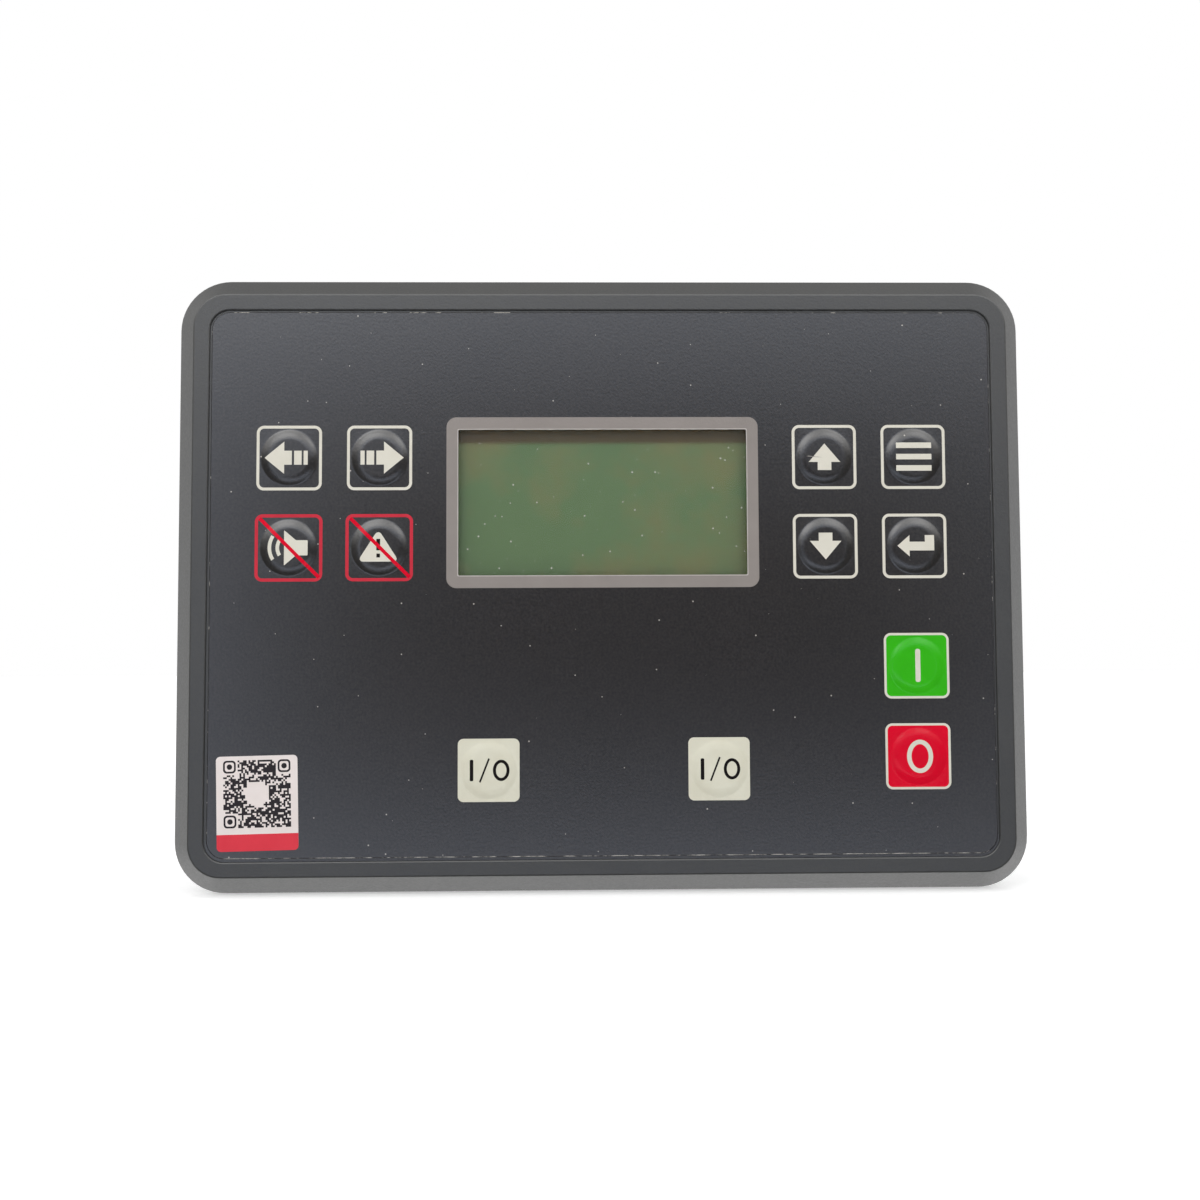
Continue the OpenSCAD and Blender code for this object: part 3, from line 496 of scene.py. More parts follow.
def merged_copy(node: str) -> bmesh.types.BMesh:
    """Copies a solid's mesh, with its triangles joined and its flat faces whole.

    Args:
        node: Name of the CAD node.

    Returns:
        The copy, in metres.
    """
    bm = bmesh.new()
    bm.from_mesh(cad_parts[node].data)
    bmesh.ops.remove_doubles(bm, verts=bm.verts[:], dist=JOIN_MM * MM)
    bmesh.ops.dissolve_limit(bm, angle_limit=EVEN_BELOW, verts=bm.verts[:], edges=bm.edges[:])
    return bm


def soften(bm: bmesh.types.BMesh, width: float, choose: Callable[[bmesh.types.BMEdge], bool],
           steps: int = 3) -> None:
    """Rounds the sharp edges that a rule chooses.

    Args:
        bm: The mesh, in metres.
        width: Width of the rounding in millimetres.
        choose: Says whether an edge is rounded.
        steps: Segments of the rounding.
    """
    edges = [e for e in bm.edges if len(e.link_faces) == 2 and e.calc_face_angle() > SMOOTH_BELOW and choose(e)]
    if edges:
        bmesh.ops.bevel(bm, geom=edges, offset=width * MM, offset_type="OFFSET", segments=steps, profile=0.5,
                        affect="EDGES", material=-1, clamp_overlap=False)


def hold_flats(piece: bpy.types.Object) -> None:
    """Keeps large flat faces flat to the light beside their rounded edges.

    Args:
        piece: The piece.
    """
    steady = piece.modifiers.new("steady_normals", "WEIGHTED_NORMAL")
    steady.mode = "FACE_AREA"
    steady.keep_sharp = True


def paint(nodes: Iterable[str], finish: Finish) -> None:
    """Gives solids that keep their own mesh a finish.

    Args:
        nodes: Names of the CAD nodes.
        finish: Their finish.
    """
    for name in nodes:
        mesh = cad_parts[name].data
        mesh.materials.clear()
        mesh.materials.append(finish.material())


def nodes_ending(tail: str) -> list[str]:
    """Names of the CAD nodes that end with a word, in order."""
    return sorted(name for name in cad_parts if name.endswith(tail))


class SignPen:
    """Draws flat key signs in millimetres round a key's middle.

    Attributes:
        CORNER_STEPS: Segments of a rounded corner.
        OVAL_STEPS: Segments of an oval.
        ARC_STEPS: Segments of an arc.
    """

    CORNER_STEPS: int = 6
    OVAL_STEPS: int = 56
    ARC_STEPS: int = 14

    def __init__(self) -> None:
        """Starts an empty sheet."""
        self.bm = bmesh.new()

    def polygon(self, points: Iterable[tuple[float, float]], corner: float = 0.0) -> None:
        """Fills an outline.

        Args:
            points: Its corners in order.
            corner: Length that the rounding of each corner takes.
        """
        verts = [self.bm.verts.new((x, y, 0.0)) for x, y in points]
        self.bm.faces.new(verts)
        if corner:
            bmesh.ops.bevel(self.bm, geom=verts, offset=corner, offset_type="OFFSET", segments=self.CORNER_STEPS,
                            profile=0.5, affect="VERTICES", material=-1)

    def bar(self, centre: tuple[float, float], size: tuple[float, float], turn: float = 0.0,
            corner: float = 0.0) -> None:
        """Fills a straight bar.

        Args:
            centre: Its middle.
            size: Width and height before it is turned.
            turn: Angle in degrees, anticlockwise.
            corner: Length that the rounding of each corner takes.
        """
        spin = Matrix.Rotation(math.radians(turn), 2)
        half = Vector(size) / 2
        signs = ((-1, -1), (1, -1), (1, 1), (-1, 1))
        corners = [spin @ Vector((sx * half.x, sy * half.y)) + Vector(centre) for sx, sy in signs]
        self.polygon([(c.x, c.y) for c in corners], corner)

    def oval(self, centre: tuple[float, float], size: tuple[float, float], stroke: float) -> None:
        """Fills an upright oval ring.

        Args:
            centre: Its middle.
            size: Outer width and height.
            stroke: Width of the ring.
        """
        loops = []
        for inset in (0.0, stroke):
            circle = bmesh.ops.create_circle(self.bm, cap_ends=False, radius=1.0, segments=self.OVAL_STEPS)
            verts = circle["verts"]
            bmesh.ops.scale(self.bm, vec=(size[0] / 2 - inset, size[1] / 2 - inset, 1.0), verts=verts)
            bmesh.ops.translate(self.bm, vec=(centre[0], centre[1], 0.0), verts=verts)
            loops += {e for v in verts for e in v.link_edges}
        bmesh.ops.bridge_loops(self.bm, edges=loops)

    def arc(self, centre: tuple[float, float], radius: float, stroke: float, middle: float, half: float) -> None:
        """Fills a stretch of a round ring.

        Args:
            centre: Middle of the ring.
            radius: Radius at the middle of the stroke.
            stroke: Width of the ring.
            middle: Direction of the stretch's middle in degrees.
            half: Half of the angle that it takes, in degrees.
        """
        start = math.radians(middle - half)
        ends = []
        for r in (radius - stroke / 2, radius + stroke / 2):
            ends.append(self.bm.verts.new((centre[0] + r * math.cos(start), centre[1] + r * math.sin(start), 0.0)))
        edge = self.bm.edges.new(ends)
        bmesh.ops.spin(self.bm, geom=[*ends, edge], axis=(0.0, 0.0, 1.0), cent=(centre[0], centre[1], 0.0),
                       angle=math.radians(2 * half), steps=self.ARC_STEPS)


def draw_page_arrow(pen: SignPen, way: int) -> None:
    """Draws an arrow with two bars behind it.

    Args:
        pen: The pen that draws.
        way: 1 for an arrow to the right, -1 for one to the left.
    """
    points = [(6.8, 0.0), (1.3, 4.53), (1.3, 1.97), (-0.82, 1.97), (-0.82, -1.97), (1.3, -1.97), (1.3, -4.53)]
    pen.polygon([(way * x, y) for x, y in points])
    pen.bar((way * -2.5, 0.0), (2.1, 3.94))
    pen.bar((way * -4.68, 0.0), (1.15, 3.94))


def draw_step_arrow(pen: SignPen, way: int) -> None:
    """Draws a short upright arrow.

    Args:
        pen: The pen that draws.
        way: 1 for an arrow up, -1 for one down.
    """
    points = [(0.0, 3.76), (-4.45, -1.46), (-1.93, -1.46), (-1.93, -3.76), (1.93, -3.76), (1.93, -1.46),
              (4.45, -1.46)]
    pen.polygon([(x, way * y) for x, y in points])


def draw_menu(pen: SignPen) -> None:
    """Draws three level bars."""
    for row in (-1, 0, 1):
        pen.bar((0.1, row * 3.22), (10.0, 1.57))


def draw_enter(pen: SignPen) -> None:
    """Draws an arrow that turns down and back to the left."""
    pen.polygon([(-4.96, 0.0), (-1.54, -3.0), (-1.54, -1.34), (5.43, -1.34), (5.43, 3.0), (2.8, 3.0),
                 (2.8, 1.14), (-1.54, 1.14), (-1.54, 3.0)])


def draw_horn(pen: SignPen) -> None:
    """Draws a horn that sounds to the left, with two sound waves.

    Args:
        pen: The pen that draws.
    """
    pen.polygon([(-1.15, 4.9), (2.15, 2.1), (5.4, 2.1), (5.4, -2.15), (2.15, -2.15), (-1.15, -4.95)], 0.25)
    for radius in (4.0, 6.2):
        pen.arc((1.0, 0.0), radius, 1.0, 180.0, 32.0)


def draw_fault(pen: SignPen) -> None:
    """Draws a triangle with round corners."""
    pen.polygon([(-0.2, 5.1), (-6.0, -3.95), (5.6, -3.95)], 1.7)


def draw_fault_mark(pen: SignPen) -> None:
    """Draws the exclamation mark that stands in the triangle."""
    pen.bar((-0.2, 0.8), (1.05, 3.2))
    pen.bar((-0.2, -2.25), (1.0, 1.1))


def draw_start(pen: SignPen) -> None:
    """Draws an upright stroke."""
    pen.bar((0.2, 0.05), (1.42, 9.25), corner=0.6)


def draw_stop(pen: SignPen) -> None:
    """Draws an upright oval."""
    pen.oval((0.35, 0.0), (7.3, 9.25), 1.25)


def draw_breaker(pen: SignPen) -> None:
    """Draws an upright stroke, a slanted stroke and an oval.

    Args:
        pen: The pen that draws.
    """
    pen.bar((-4.7, 0.0), (1.0, 5.9), corner=0.35)
    pen.bar((-1.15, 0.0), (0.5, 7.0), turn=-21.5)
    pen.oval((3.5, 0.0), (4.6, 5.85), 0.85)


def draw_slash(pen: SignPen) -> None:
    """Draws a stroke from the upper left to the lower right of a key."""
    pen.bar((0.2, 0.0), (23.4, 1.0), turn=-45.0)


def draw_scratch(pen: SignPen) -> None:
    """Draws a short scratch across the left half of a key."""
    pen.polygon([(-5.2, 0.2), (-4.2, 0.28), (-2.4, 0.05), (-0.4, -0.12), (-2.4, -0.1), (-4.1, 0.06)])


@dataclass(frozen=True)
class KeyStyle:
    """Printed field of a key.

    Attributes:
        size: Width and height over the print.
        corner: Outer corner radius of the print.
        stroke: Width of the ring, 0 for a plain field.
        field: Finish inside the ring.
        ring: Finish of the ring.
        sign: Finish of the sign.
    """

    size: tuple[float, float]
    corner: float
    stroke: float
    field: Finish
    ring: Finish
    sign: Finish

    def patch(self) -> tuple[tuple[float, float], float]:
        """Size and corner radius of the piece of film that the key's dome is pressed in."""
        return (self.size[0] - self.stroke, self.size[1] - self.stroke), self.corner - self.stroke / 2


class KeyKind(Enum):
    """The kinds of printed key."""

    PLAIN = KeyStyle((18.2, 18.2), 2.1, 0.8, FILM_PET, PALE_INK, PALE_INK)
    RESET = KeyStyle((18.8, 18.8), 2.1, 0.9, FILM_PET, RED_INK, PALE_INK)
    START = KeyStyle((18.3, 18.3), 2.0, 0.65, GREEN_INK, PALE_INK, PALE_INK)
    STOP = KeyStyle((18.3, 18.3), 2.0, 0.65, STOP_INK, PALE_INK, PALE_INK)
    BREAKER = KeyStyle((17.1, 17.4), 1.6, 0.0, WHITE_INK, WHITE_INK, BLACK_INK)


@dataclass(frozen=True)
class Key:
    """A key of the film.

    Attributes:
        name: Name that its plunger, body and joint start with.
        kind: Its kind.
        draw: Draws its sign.
        overlays: Signs printed over the first, each with its name, drawing and finish.
    """

    name: str
    kind: KeyKind
    draw: Callable[[SignPen], None]
    overlays: tuple[tuple[str, Callable[[SignPen], None], Finish], ...] = ()

    def centre(self) -> tuple[float, float]:
        """Finds the middle of the key, over its plunger.

        Returns:
            The place on the panel, in millimetres.
        """
        low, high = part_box(self.name + "_plunger")
        middle = (low + high) / 2 / MM
        return middle.x, middle.z


KEYS = (
    Key("page_left", KeyKind.PLAIN, lambda pen: draw_page_arrow(pen, -1)),
    Key("page_right", KeyKind.PLAIN, lambda pen: draw_page_arrow(pen, 1)),
    Key("horn_reset", KeyKind.RESET, draw_horn, (("slash", draw_slash, STOP_INK),)),
    Key("fault_reset", KeyKind.RESET, draw_fault,
        (("mark", draw_fault_mark, BLACK_INK), ("slash", draw_slash, STOP_INK))),
    Key("up", KeyKind.PLAIN, lambda pen: draw_step_arrow(pen, 1), (("scratch", draw_scratch, SCRATCH),)),
    Key("menu", KeyKind.PLAIN, draw_menu),
    Key("down", KeyKind.PLAIN, lambda pen: draw_step_arrow(pen, -1)),
    Key("enter", KeyKind.PLAIN, draw_enter),
    Key("start", KeyKind.START, draw_start),
    Key("stop", KeyKind.STOP, draw_stop),
    Key("generator_breaker", KeyKind.BREAKER, draw_breaker),
    Key("mains_breaker", KeyKind.BREAKER, draw_breaker),
)


@dataclass
class KeypadFilm:
    """The overlay film with its domes and prints.

    Attributes:
        thickness: Thickness of the film.
        corner: Corner radius of the film.
        dome_radius: Radius of a dome at its foot.
        dome_shoulder: Width of a dome's rounded shoulder.
        dome_height: Height of a dome over the film.
        dome_fillet: Share of the shoulder that the rounding at a dome's foot takes.
        dome_rings: Rings of faces on a shoulder.
        dome_segments: Faces round a dome.
        ink: Height of one layer of print.
        edge_round: Width of the worn edge of the cut.
        outer_share: Share of the way from the film's middle to its sides past which an edge is of the outer cut.
        face_up: How far upwards the faces of the film itself point, and not those of its cut.
        foot_down: How far downwards the faces of the cut along the film's foot point.
        backing: Thickness of the backing sheet.
        backing_reach: How far the backing shows below the film.
        backing_side: How far it shows beside the film.
        backing_gap: Gap between the film's cut and the part of the backing that shows.
        mesh_step: Width of the cells that let a print follow a dome.
        pressed: Share of its height that a dome keeps when its key is pressed. Not used.
        window: Width and height of the cut-out for the display.
        window_corner: Corner radius of the cut-out.
        border: Width and height of the print round the cut-out.
        border_corner: Corner radius of that print.
        border_highlight: Width of the painted highlight along its inner edge, where the cut catches the light.
        slot: The record's material slot of the film and its prints. Not used.
    """

    thickness: float = 0.4
    corner: float = 5.0
    dome_radius: float = 8.2
    dome_shoulder: float = 3.2
    dome_height: float = 0.66
    dome_fillet: float = 0.24
    dome_rings: int = 18
    dome_segments: int = 64
    ink: float = 0.012
    edge_round: float = 0.2
    outer_share: float = 0.95
    face_up: float = 0.95
    foot_down: float = 0.6
    backing: float = 0.3
    backing_reach: float = 0.8
    backing_side: float = 0.4
    backing_gap: float = 0.01
    mesh_step: float = 0.4
    pressed: float = 0.15
    window: tuple[float, float] = (81.0, 41.0)
    window_corner: float = 0.4
    border: tuple[float, float] = (87.6, 48.0)
    border_corner: float = 2.8
    border_highlight: float = 0.25
    slot: str = "overlay_film"

    def __post_init__(self) -> None:
        """Reads the film's outline, face and display from the solids."""
        low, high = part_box("keypad_film")
        self.size = ((high.x - low.x) / MM, (high.z - low.z) / MM)
        self.top = -high.y / MM + self.thickness
        low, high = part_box("display_window")
        self.window_centre = (0.0, (low.z + high.z) / 2 / MM)

    def build(self) -> None:
        """Makes the film, its domes and its prints."""
        sheet = self.build_sheet()
        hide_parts("keypad_film")
        self.build_backing()
        self.build_border()
        for key in KEYS:
            self.build_dome(key)
            if key.kind.value.stroke:
                self.build_ring(key)
            layers = (("sign", key.draw, key.kind.value.sign),) + key.overlays
            for level, (word, draw, finish) in enumerate(layers):
                self.build_print(key, word, draw, finish, level)

    def rise(self, x: float, y: float) -> float:
        """Height of a dome over the film.

        Args:
            x: Distance to the right of the dome's middle.
            y: Distance above the dome's middle.

        Returns:
            The height in millimetres.
        """
        climb = min(max((self.dome_radius - math.hypot(x, y)) / self.dome_shoulder, 0.0), 1.0)
        start = min(climb, self.dome_fillet) ** 2 / (2 * self.dome_fillet)
        climb = (start + max(climb - self.dome_fillet, 0.0)) / (1 - self.dome_fillet / 2)
        return self.dome_height * (1 - (1 - climb) ** 2)

    def at(self, centre: tuple[float, float], lift: float = 0.0) -> Matrix:
        """Place on the film's face, in panel millimetres."""
        return Matrix.Translation((centre[0], centre[1], self.top + lift))

    def press(self, piece: bpy.types.Object) -> None:
        """Gives a piece on a dome a mesh of its own.

        Args:
            piece: The piece.
        """
        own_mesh(piece)

    def on_outline(self, edge: bmesh.types.BMEdge) -> bool:
        """Tells the edges of the film's face along its outer cut, while the sheet lies flat at z = 0.

        Args:
            edge: An edge of the sheet.

        Returns:
            True for such an edge.
        """
        width, height = self.size
        return edge.calc_face_angle() > SMOOTH_BELOW and all(
            abs(v.co.z) < PLANE_SLACK_MM
            and max(2 * abs(v.co.x) / width, 2 * abs(v.co.y) / height) > self.outer_share
            for v in edge.verts)

    def build_sheet(self) -> bpy.types.Object:
        """Makes the flat film, with openings for the key fields and the display.

        Returns:
            The sheet.
        """
        bm = bmesh.new()
        plate_outline(bm, self.size, self.corner)
        plate_outline(bm, self.window, self.window_corner, self.window_centre, 4)
        for key in KEYS:
            size, corner = key.kind.value.patch()
            plate_outline(bm, size, corner, key.centre())
        bmesh.ops.triangle_fill(bm, use_beauty=True, edges=bm.edges[:], normal=(0.0, 0.0, 1.0))
        thicken(bm, -self.thickness)
        outer = [e for e in bm.edges if self.on_outline(e)]
        bmesh.ops.bevel(bm, geom=outer, offset=self.edge_round, offset_type="OFFSET", segments=1, profile=0.5,
                        affect="EDGES", material=-1)
        bm.normal_update()
        # The cut edge takes the second finish, and the third along the foot of the film
        for face in bm.faces:
            if abs(face.normal.z) < self.face_up:
                face.material_index = 2 if face.normal.y < -self.foot_down else 1
        sheet = stand_piece("keypad_sheet", bm, self.at((0.0, 0.0)), FILM_PET)
        for finish in (FILM_EDGE, FILM_EDGE_LOW):
            sheet.data.materials.append(finish.material())
        return sheet

    def build_backing(self) -> None:
        """Lays the backing sheet, which shows below the film because the film was stuck on a little high."""
        bm = bmesh.new()
        width, height = self.size
        drop = self.backing_reach - self.backing_side
        size = (width + 2 * self.backing_side, height + 2 * self.backing_side + drop)
        loops = plate_outline(bm, size, self.corner + self.backing_side, (0.0, -drop / 2))
        loops += plate_outline(bm, (width + 2 * self.backing_gap, height + 2 * self.backing_gap), self.corner)
        bmesh.ops.bridge_loops(bm, edges=loops)
        bmesh.ops.bisect_plane(bm, geom=bm.verts[:] + bm.edges[:] + bm.faces[:], clear_outer=True,
                               plane_co=(0.0, self.corner - height / 2, 0.0), plane_no=(0.0, 1.0, 0.0))
        thicken(bm, self.backing)
        stand_piece("film_backing", bm, self.at((0.0, 0.0), -self.thickness), FILM_PET)

    def build_border(self) -> None:
        """Prints the frame round the display's cut-out, and lays the painted highlight along the cut."""
        line = (self.window[0] + 2 * self.border_highlight, self.window[1] + 2 * self.border_highlight)
        # The second ring is a painted highlight along the cut edge
        for name, outer, corner, inner, finish in (
                ("display_border", self.border, self.border_corner, line, BORDER_INK),
                ("display_border_highlight", line, self.window_corner, self.window, BORDER_HIGHLIGHT)):
            bm = bmesh.new()
            plate_outline(bm, outer, corner)
            plate_outline(bm, inner, self.window_corner, steps=4)
            bmesh.ops.triangle_fill(bm, use_beauty=True, edges=bm.edges[:], normal=(0.0, 0.0, 1.0))
            thicken(bm, self.ink)
            stand_piece(name, bm, self.at(self.window_centre), finish)

    def build_dome(self, key: Key) -> None:
        """Makes the field of film that a key's dome is pressed in.

        Args:
            key: The key.
        """
        bm = bmesh.new()
        bmesh.ops.create_circle(bm, cap_ends=True, radius=self.dome_radius, segments=self.dome_segments)
        cap = bm.faces[:][0]
        step = self.dome_shoulder / self.dome_rings
        for ring in range(self.dome_rings):
            edge = self.dome_radius - ring * step
            climb = self.rise(edge - step, 0.0) - self.rise(edge, 0.0)
            bmesh.ops.inset_region(bm, faces=[cap], thickness=step, depth=climb, use_even_offset=True,
                                   use_boundary=True)
        foot = [e for e in bm.edges if e.is_boundary]
        size, corner = key.kind.value.patch()
        bmesh.ops.bridge_loops(bm, edges=foot + plate_outline(bm, size, corner))
        thicken(bm, -self.thickness)
        dome = stand_piece(key.name + "_dome", bm, self.at(key.centre()), key.kind.value.field)
        self.press(dome)

    def build_ring(self, key: Key) -> None:
        """Prints the ring round a key.

        Args:
            key: The key.
        """
        style = key.kind.value
        inner = (style.size[0] - 2 * style.stroke, style.size[1] - 2 * style.stroke)
        bm = bmesh.new()
        outer_loop = plate_outline(bm, style.size, style.corner)
        inner_loop = plate_outline(bm, inner, style.corner - style.stroke)
        bmesh.ops.bridge_loops(bm, edges=outer_loop + inner_loop)
        thicken(bm, self.ink)
        stand_piece(key.name + "_ring", bm, self.at(key.centre()), style.ring)

    def build_print(self, key: Key, word: str, draw: Callable[[SignPen], None], finish: Finish,
                    level: int) -> None:
        """Prints a sign on a dome.

        Args:
            key: The key.
            word: What the print is, for its name.
            draw: Draws it.
            finish: Its ink.
            level: Number of prints below it.
        """
        pen = SignPen()
        draw(pen)
        bm = pen.bm
        reach = max(max(abs(v.co.x), abs(v.co.y)) for v in bm.verts)
        count = math.ceil(reach / self.mesh_step)
        for axis in (Vector((1.0, 0.0, 0.0)), Vector((0.0, 1.0, 0.0))):
            for i in range(-count, count + 1):
                bmesh.ops.bisect_plane(bm, geom=bm.verts[:] + bm.edges[:] + bm.faces[:], dist=1e-5,
                                       plane_co=axis * (i * self.mesh_step), plane_no=axis)
        bmesh.ops.triangulate(bm, faces=bm.faces[:])
        for vert in bm.verts:
            vert.co.z = self.rise(vert.co.x, vert.co.y)
        thicken(bm, self.ink)
        name = f"{key.name}_{word}"
        sign = stand_piece(name, bm, self.at(key.centre(), level * self.ink), finish)
        self.press(sign)


@dataclass
class GuideSticker:
    """The label on the film, lower left.

    Attributes:
        size: Width and height of the label.
        corner: Corner radius of the label.
        tilt: How far it was stuck on askew, in degrees.
        band: Height of the red band along its foot.
        modules: Number of fields along each side of the pattern.
        module: Width of a field.
        pattern_rise: Middle of the label to the middle of the pattern.
        clear: Radius of the bare middle of the pattern.
        eye: Outer width of a corner mark.
        eye_corners: Corner radii of the mark's ring, outside and inside.
        eye_dot: Radius of the dot in the mark.
        dot_segments: Edges of the dot.
        eye_fields: Number of fields that a corner mark keeps clear along each side.
        fill: Share of the other fields that is printed.
        ink: Height of the print.
        slot: The record's material slot of the label and its print. Not used.
    """

    size: tuple[float, float] = (22.4, 26.0)
    corner: float = 1.2
    tilt: float = 1.2
    band: float = 4.6
    modules: int = 37
    module: float = 0.5
    pattern_rise: float = 2.6
    clear: float = 3.4
    eye: float = 3.5
    eye_corners: tuple[float, float] = (1.0, 0.6)
    eye_dot: float = 0.75
    dot_segments: int = 20
    eye_fields: int = 8
    fill: float = 0.64
    ink: float = 0.02
    slot: str = "sticker"

    def build(self) -> None:
        """Dresses the label and prints its band and its pattern."""
        low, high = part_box("guide_sticker")
        middle = (low + high) / 2 / MM
        paint(["guide_sticker"], LABEL_WHITE)
        turn = Matrix.Rotation(math.radians(self.tilt), 4, "Z")
        place = Matrix.Translation((middle.x, middle.z, -low.y / MM)) @ turn
        self.build_band(place)
        self.build_pattern(place @ Matrix.Translation((0.0, self.pattern_rise, 0.0)))

    def build_band(self, place: Matrix) -> None:
        """Prints the red band.

        Args:
            place: The label's face.
        """
        bm = bmesh.new()
        loop = plate_outline(bm, self.size, self.corner, steps=8)
        bmesh.ops.triangle_fill(bm, use_beauty=True, edges=loop, normal=(0.0, 0.0, 1.0))
        bmesh.ops.bisect_plane(bm, geom=bm.verts[:] + bm.edges[:] + bm.faces[:], clear_outer=True,
                               plane_co=(0.0, self.band - self.size[1] / 2, 0.0), plane_no=(0.0, 1.0, 0.0))
        thicken(bm, self.ink)
        stand_piece("sticker_band", bm, place, LABEL_RED)

    def is_dark(self, column: int, row: int) -> bool:
        """Says whether a field of the pattern is printed. The pattern stands for no text.

        Args:
            column: Column from the middle.
            row: Row from the middle.

        Returns:
            True for a printed field.
        """
        half = self.modules // 2
        in_eye = min(abs(column), abs(row)) > half - self.eye_fields and not (column > 0 > row)
        in_middle = math.hypot(column, row) * self.module < self.clear
        # A steep sine: its fraction looks random, and comes out the same each time
        mixed = math.sin(column * 12.9898 + row * 78.233) * 43758.5453
        return not in_eye and not in_middle and mixed - math.floor(mixed) < self.fill

    def build_pattern(self, place: Matrix) -> None:
        """Prints a pattern of square fields with a mark in three corners.

        Args:
            place: Middle of the pattern on the label's face.
        """
        span = self.modules * self.module
        bm = bmesh.new()
        bmesh.ops.create_grid(bm, x_segments=self.modules, y_segments=self.modules, size=span / 2)
        pale = []
        for face in bm.faces:
            spot = face.calc_center_median() / self.module
            if not self.is_dark(round(spot.x), round(spot.y)):
                pale.append(face)
        bmesh.ops.delete(bm, geom=pale, context="FACES")
        reach = (span - self.eye) / 2
        for side, height in ((-1, 1), (1, 1), (-1, -1)):
            spot = (side * reach, height * reach)
            loops = []
            for width, corner in zip((self.eye, self.eye - 2 * self.module), self.eye_corners):
                loops += plate_outline(bm, (width, width), corner, spot, 6)
            bmesh.ops.bridge_loops(bm, edges=loops)
            dot = bmesh.ops.create_circle(bm, cap_ends=True, radius=self.eye_dot, segments=self.dot_segments)
            bmesh.ops.translate(bm, vec=(spot[0], spot[1], 0.0), verts=dot["verts"])
        thicken(bm, self.ink)
        stand_piece("sticker_pattern", bm, place, LABEL_BLACK)


@dataclass
class Bezel:
    """The moulded frame round the film.

    Attributes:
        corner: Corner radius of its outline.
        rim_round: Rounding between slope and flat ring, and along the outer edges.
        recess_round: Rounding along the film's recess.
        recess_spare: How much wider the recess is at its lower left corner and below, where the film lies askew.
        rim_zone: Width of the rim over which edges count as the rim's.
        recess_zone: Distance from the outline past which edges on the front are the recess's.
    """

    corner: float = 14.3
    rim_round: float = 0.35
    recess_round: float = 0.5
    recess_spare: tuple[float, float] = (0.3, 0.35)
    rim_zone: float = 2.0
    recess_zone: float = 8.0

    def __post_init__(self) -> None:
        """Reads the bezel's box from the solids."""
        low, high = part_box("front_bezel")
        self.half = Vector((high.x, high.z)) / MM
        self.front = low.y

    def inset(self, point: Vector) -> float:
        """Measures how far inside the bezel's outline a point lies.

        Args:
            point: The point, in metres.

        Returns:
            The distance in millimetres.
        """
        over = Vector((abs(point.x), abs(point.z))) / MM - self.half + Vector((self.corner, self.corner))
        outside = Vector((max(over.x, 0.0), max(over.y, 0.0))).length
        return self.corner - outside - min(max(over.x, over.y), 0.0)

    def build(self) -> None:
        """Rounds the bezel's edges and dresses it."""
        bm = merged_copy("front_bezel")

        def is_front(edge: bmesh.types.BMEdge) -> bool:
            """True for an edge on the front plane."""
            return all(abs(v.co.y - self.front) < PLANE_SLACK_MM * MM for v in edge.verts)

        def is_rim(edge: bmesh.types.BMEdge) -> bool:
            """True for the edges round the slope and along the outline."""
            insets = [self.inset(v.co) for v in edge.verts]
            return max(insets) < self.rim_zone or (is_front(edge) and max(insets) < self.recess_zone)

        def is_recess(edge: bmesh.types.BMEdge) -> bool:
            """True for the edges of the film's recess."""
            return is_front(edge) and min(self.inset(v.co) for v in edge.verts) > self.recess_zone

        lip = {v for e in bm.edges if is_recess(e) for v in e.verts}
        near = {e.other_vert(v) for v in lip for e in v.link_edges}
        foot = {v for v in near - lip if v.co.y > self.front + PLANE_SLACK_MM * MM}
        lower = [v for v in lip | foot if v.co.z < 0]
        bmesh.ops.translate(bm, vec=(0.0, 0.0, -self.recess_spare[1] * MM), verts=lower)
        bmesh.ops.translate(bm, vec=(-self.recess_spare[0] * MM, 0.0, 0.0), verts=[v for v in lower if v.co.x < 0])
        soften(bm, self.rim_round, is_rim)
        soften(bm, self.recess_round, is_recess)
        piece = new_piece("bezel_moulding", bm, BEZEL_ABS)
        hold_flats(piece)
        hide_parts("front_bezel")


class Display:
    """The window, the display module and the foam between them."""

    def build(self) -> None:
        """Dresses the display's solids."""
        paint(["display_window"], WINDOW_PMMA)
        paint(["lcd_glass"], CELL_GLASS)
        paint(["lcd_backlight"], LIGHT_GUIDE)
        paint(["display_gasket"], FOAM)
        paint(["lcd_frame"], ZINC)


@dataclass
class RearCase:
    """The housing, its cover, the module covers, the screws and the panel seal.

    Attributes:
        edge_round: Rounding of the mouldings' long edges.
        long_edge: Length from which an edge counts as long.
        seal_round: Rounding of the seal.
    """

    edge_round: float = 0.3
    long_edge: float = 5.0
    seal_round: float = 0.5

    def build(self) -> None:
        """Rounds and dresses the rear pieces."""
        self.dress("rear_housing", HOUSING_PC, self.edge_round)
        self.dress("rear_cover", HOUSING_PC, self.edge_round)
        for node in nodes_ending("cover_left") + nodes_ending("cover_right"):
            self.dress(node, COVER_PC, self.edge_round)
        self.dress("panel_gasket", SEAL_EPDM, self.seal_round)
        self.dress("housing_screws", ZINC, 0.0)

    def dress(self, node: str, finish: Finish, width: float) -> None:
        """Replaces a solid by a copy with rounded long edges.

        Args:
            node: Name of the CAD node.
            finish: Its finish.
            width: Width of the rounding, 0 for none.
        """
        bm = merged_copy(node)

        def is_long(edge: bmesh.types.BMEdge) -> bool:
            """True for a long outer edge."""
            return edge.is_convex and edge.calc_length() > self.long_edge * MM

        if width:
            soften(bm, width, is_long, 2)
        piece = new_piece(node + "_dressed", bm, finish)
        hold_flats(piece)
        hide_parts(node)


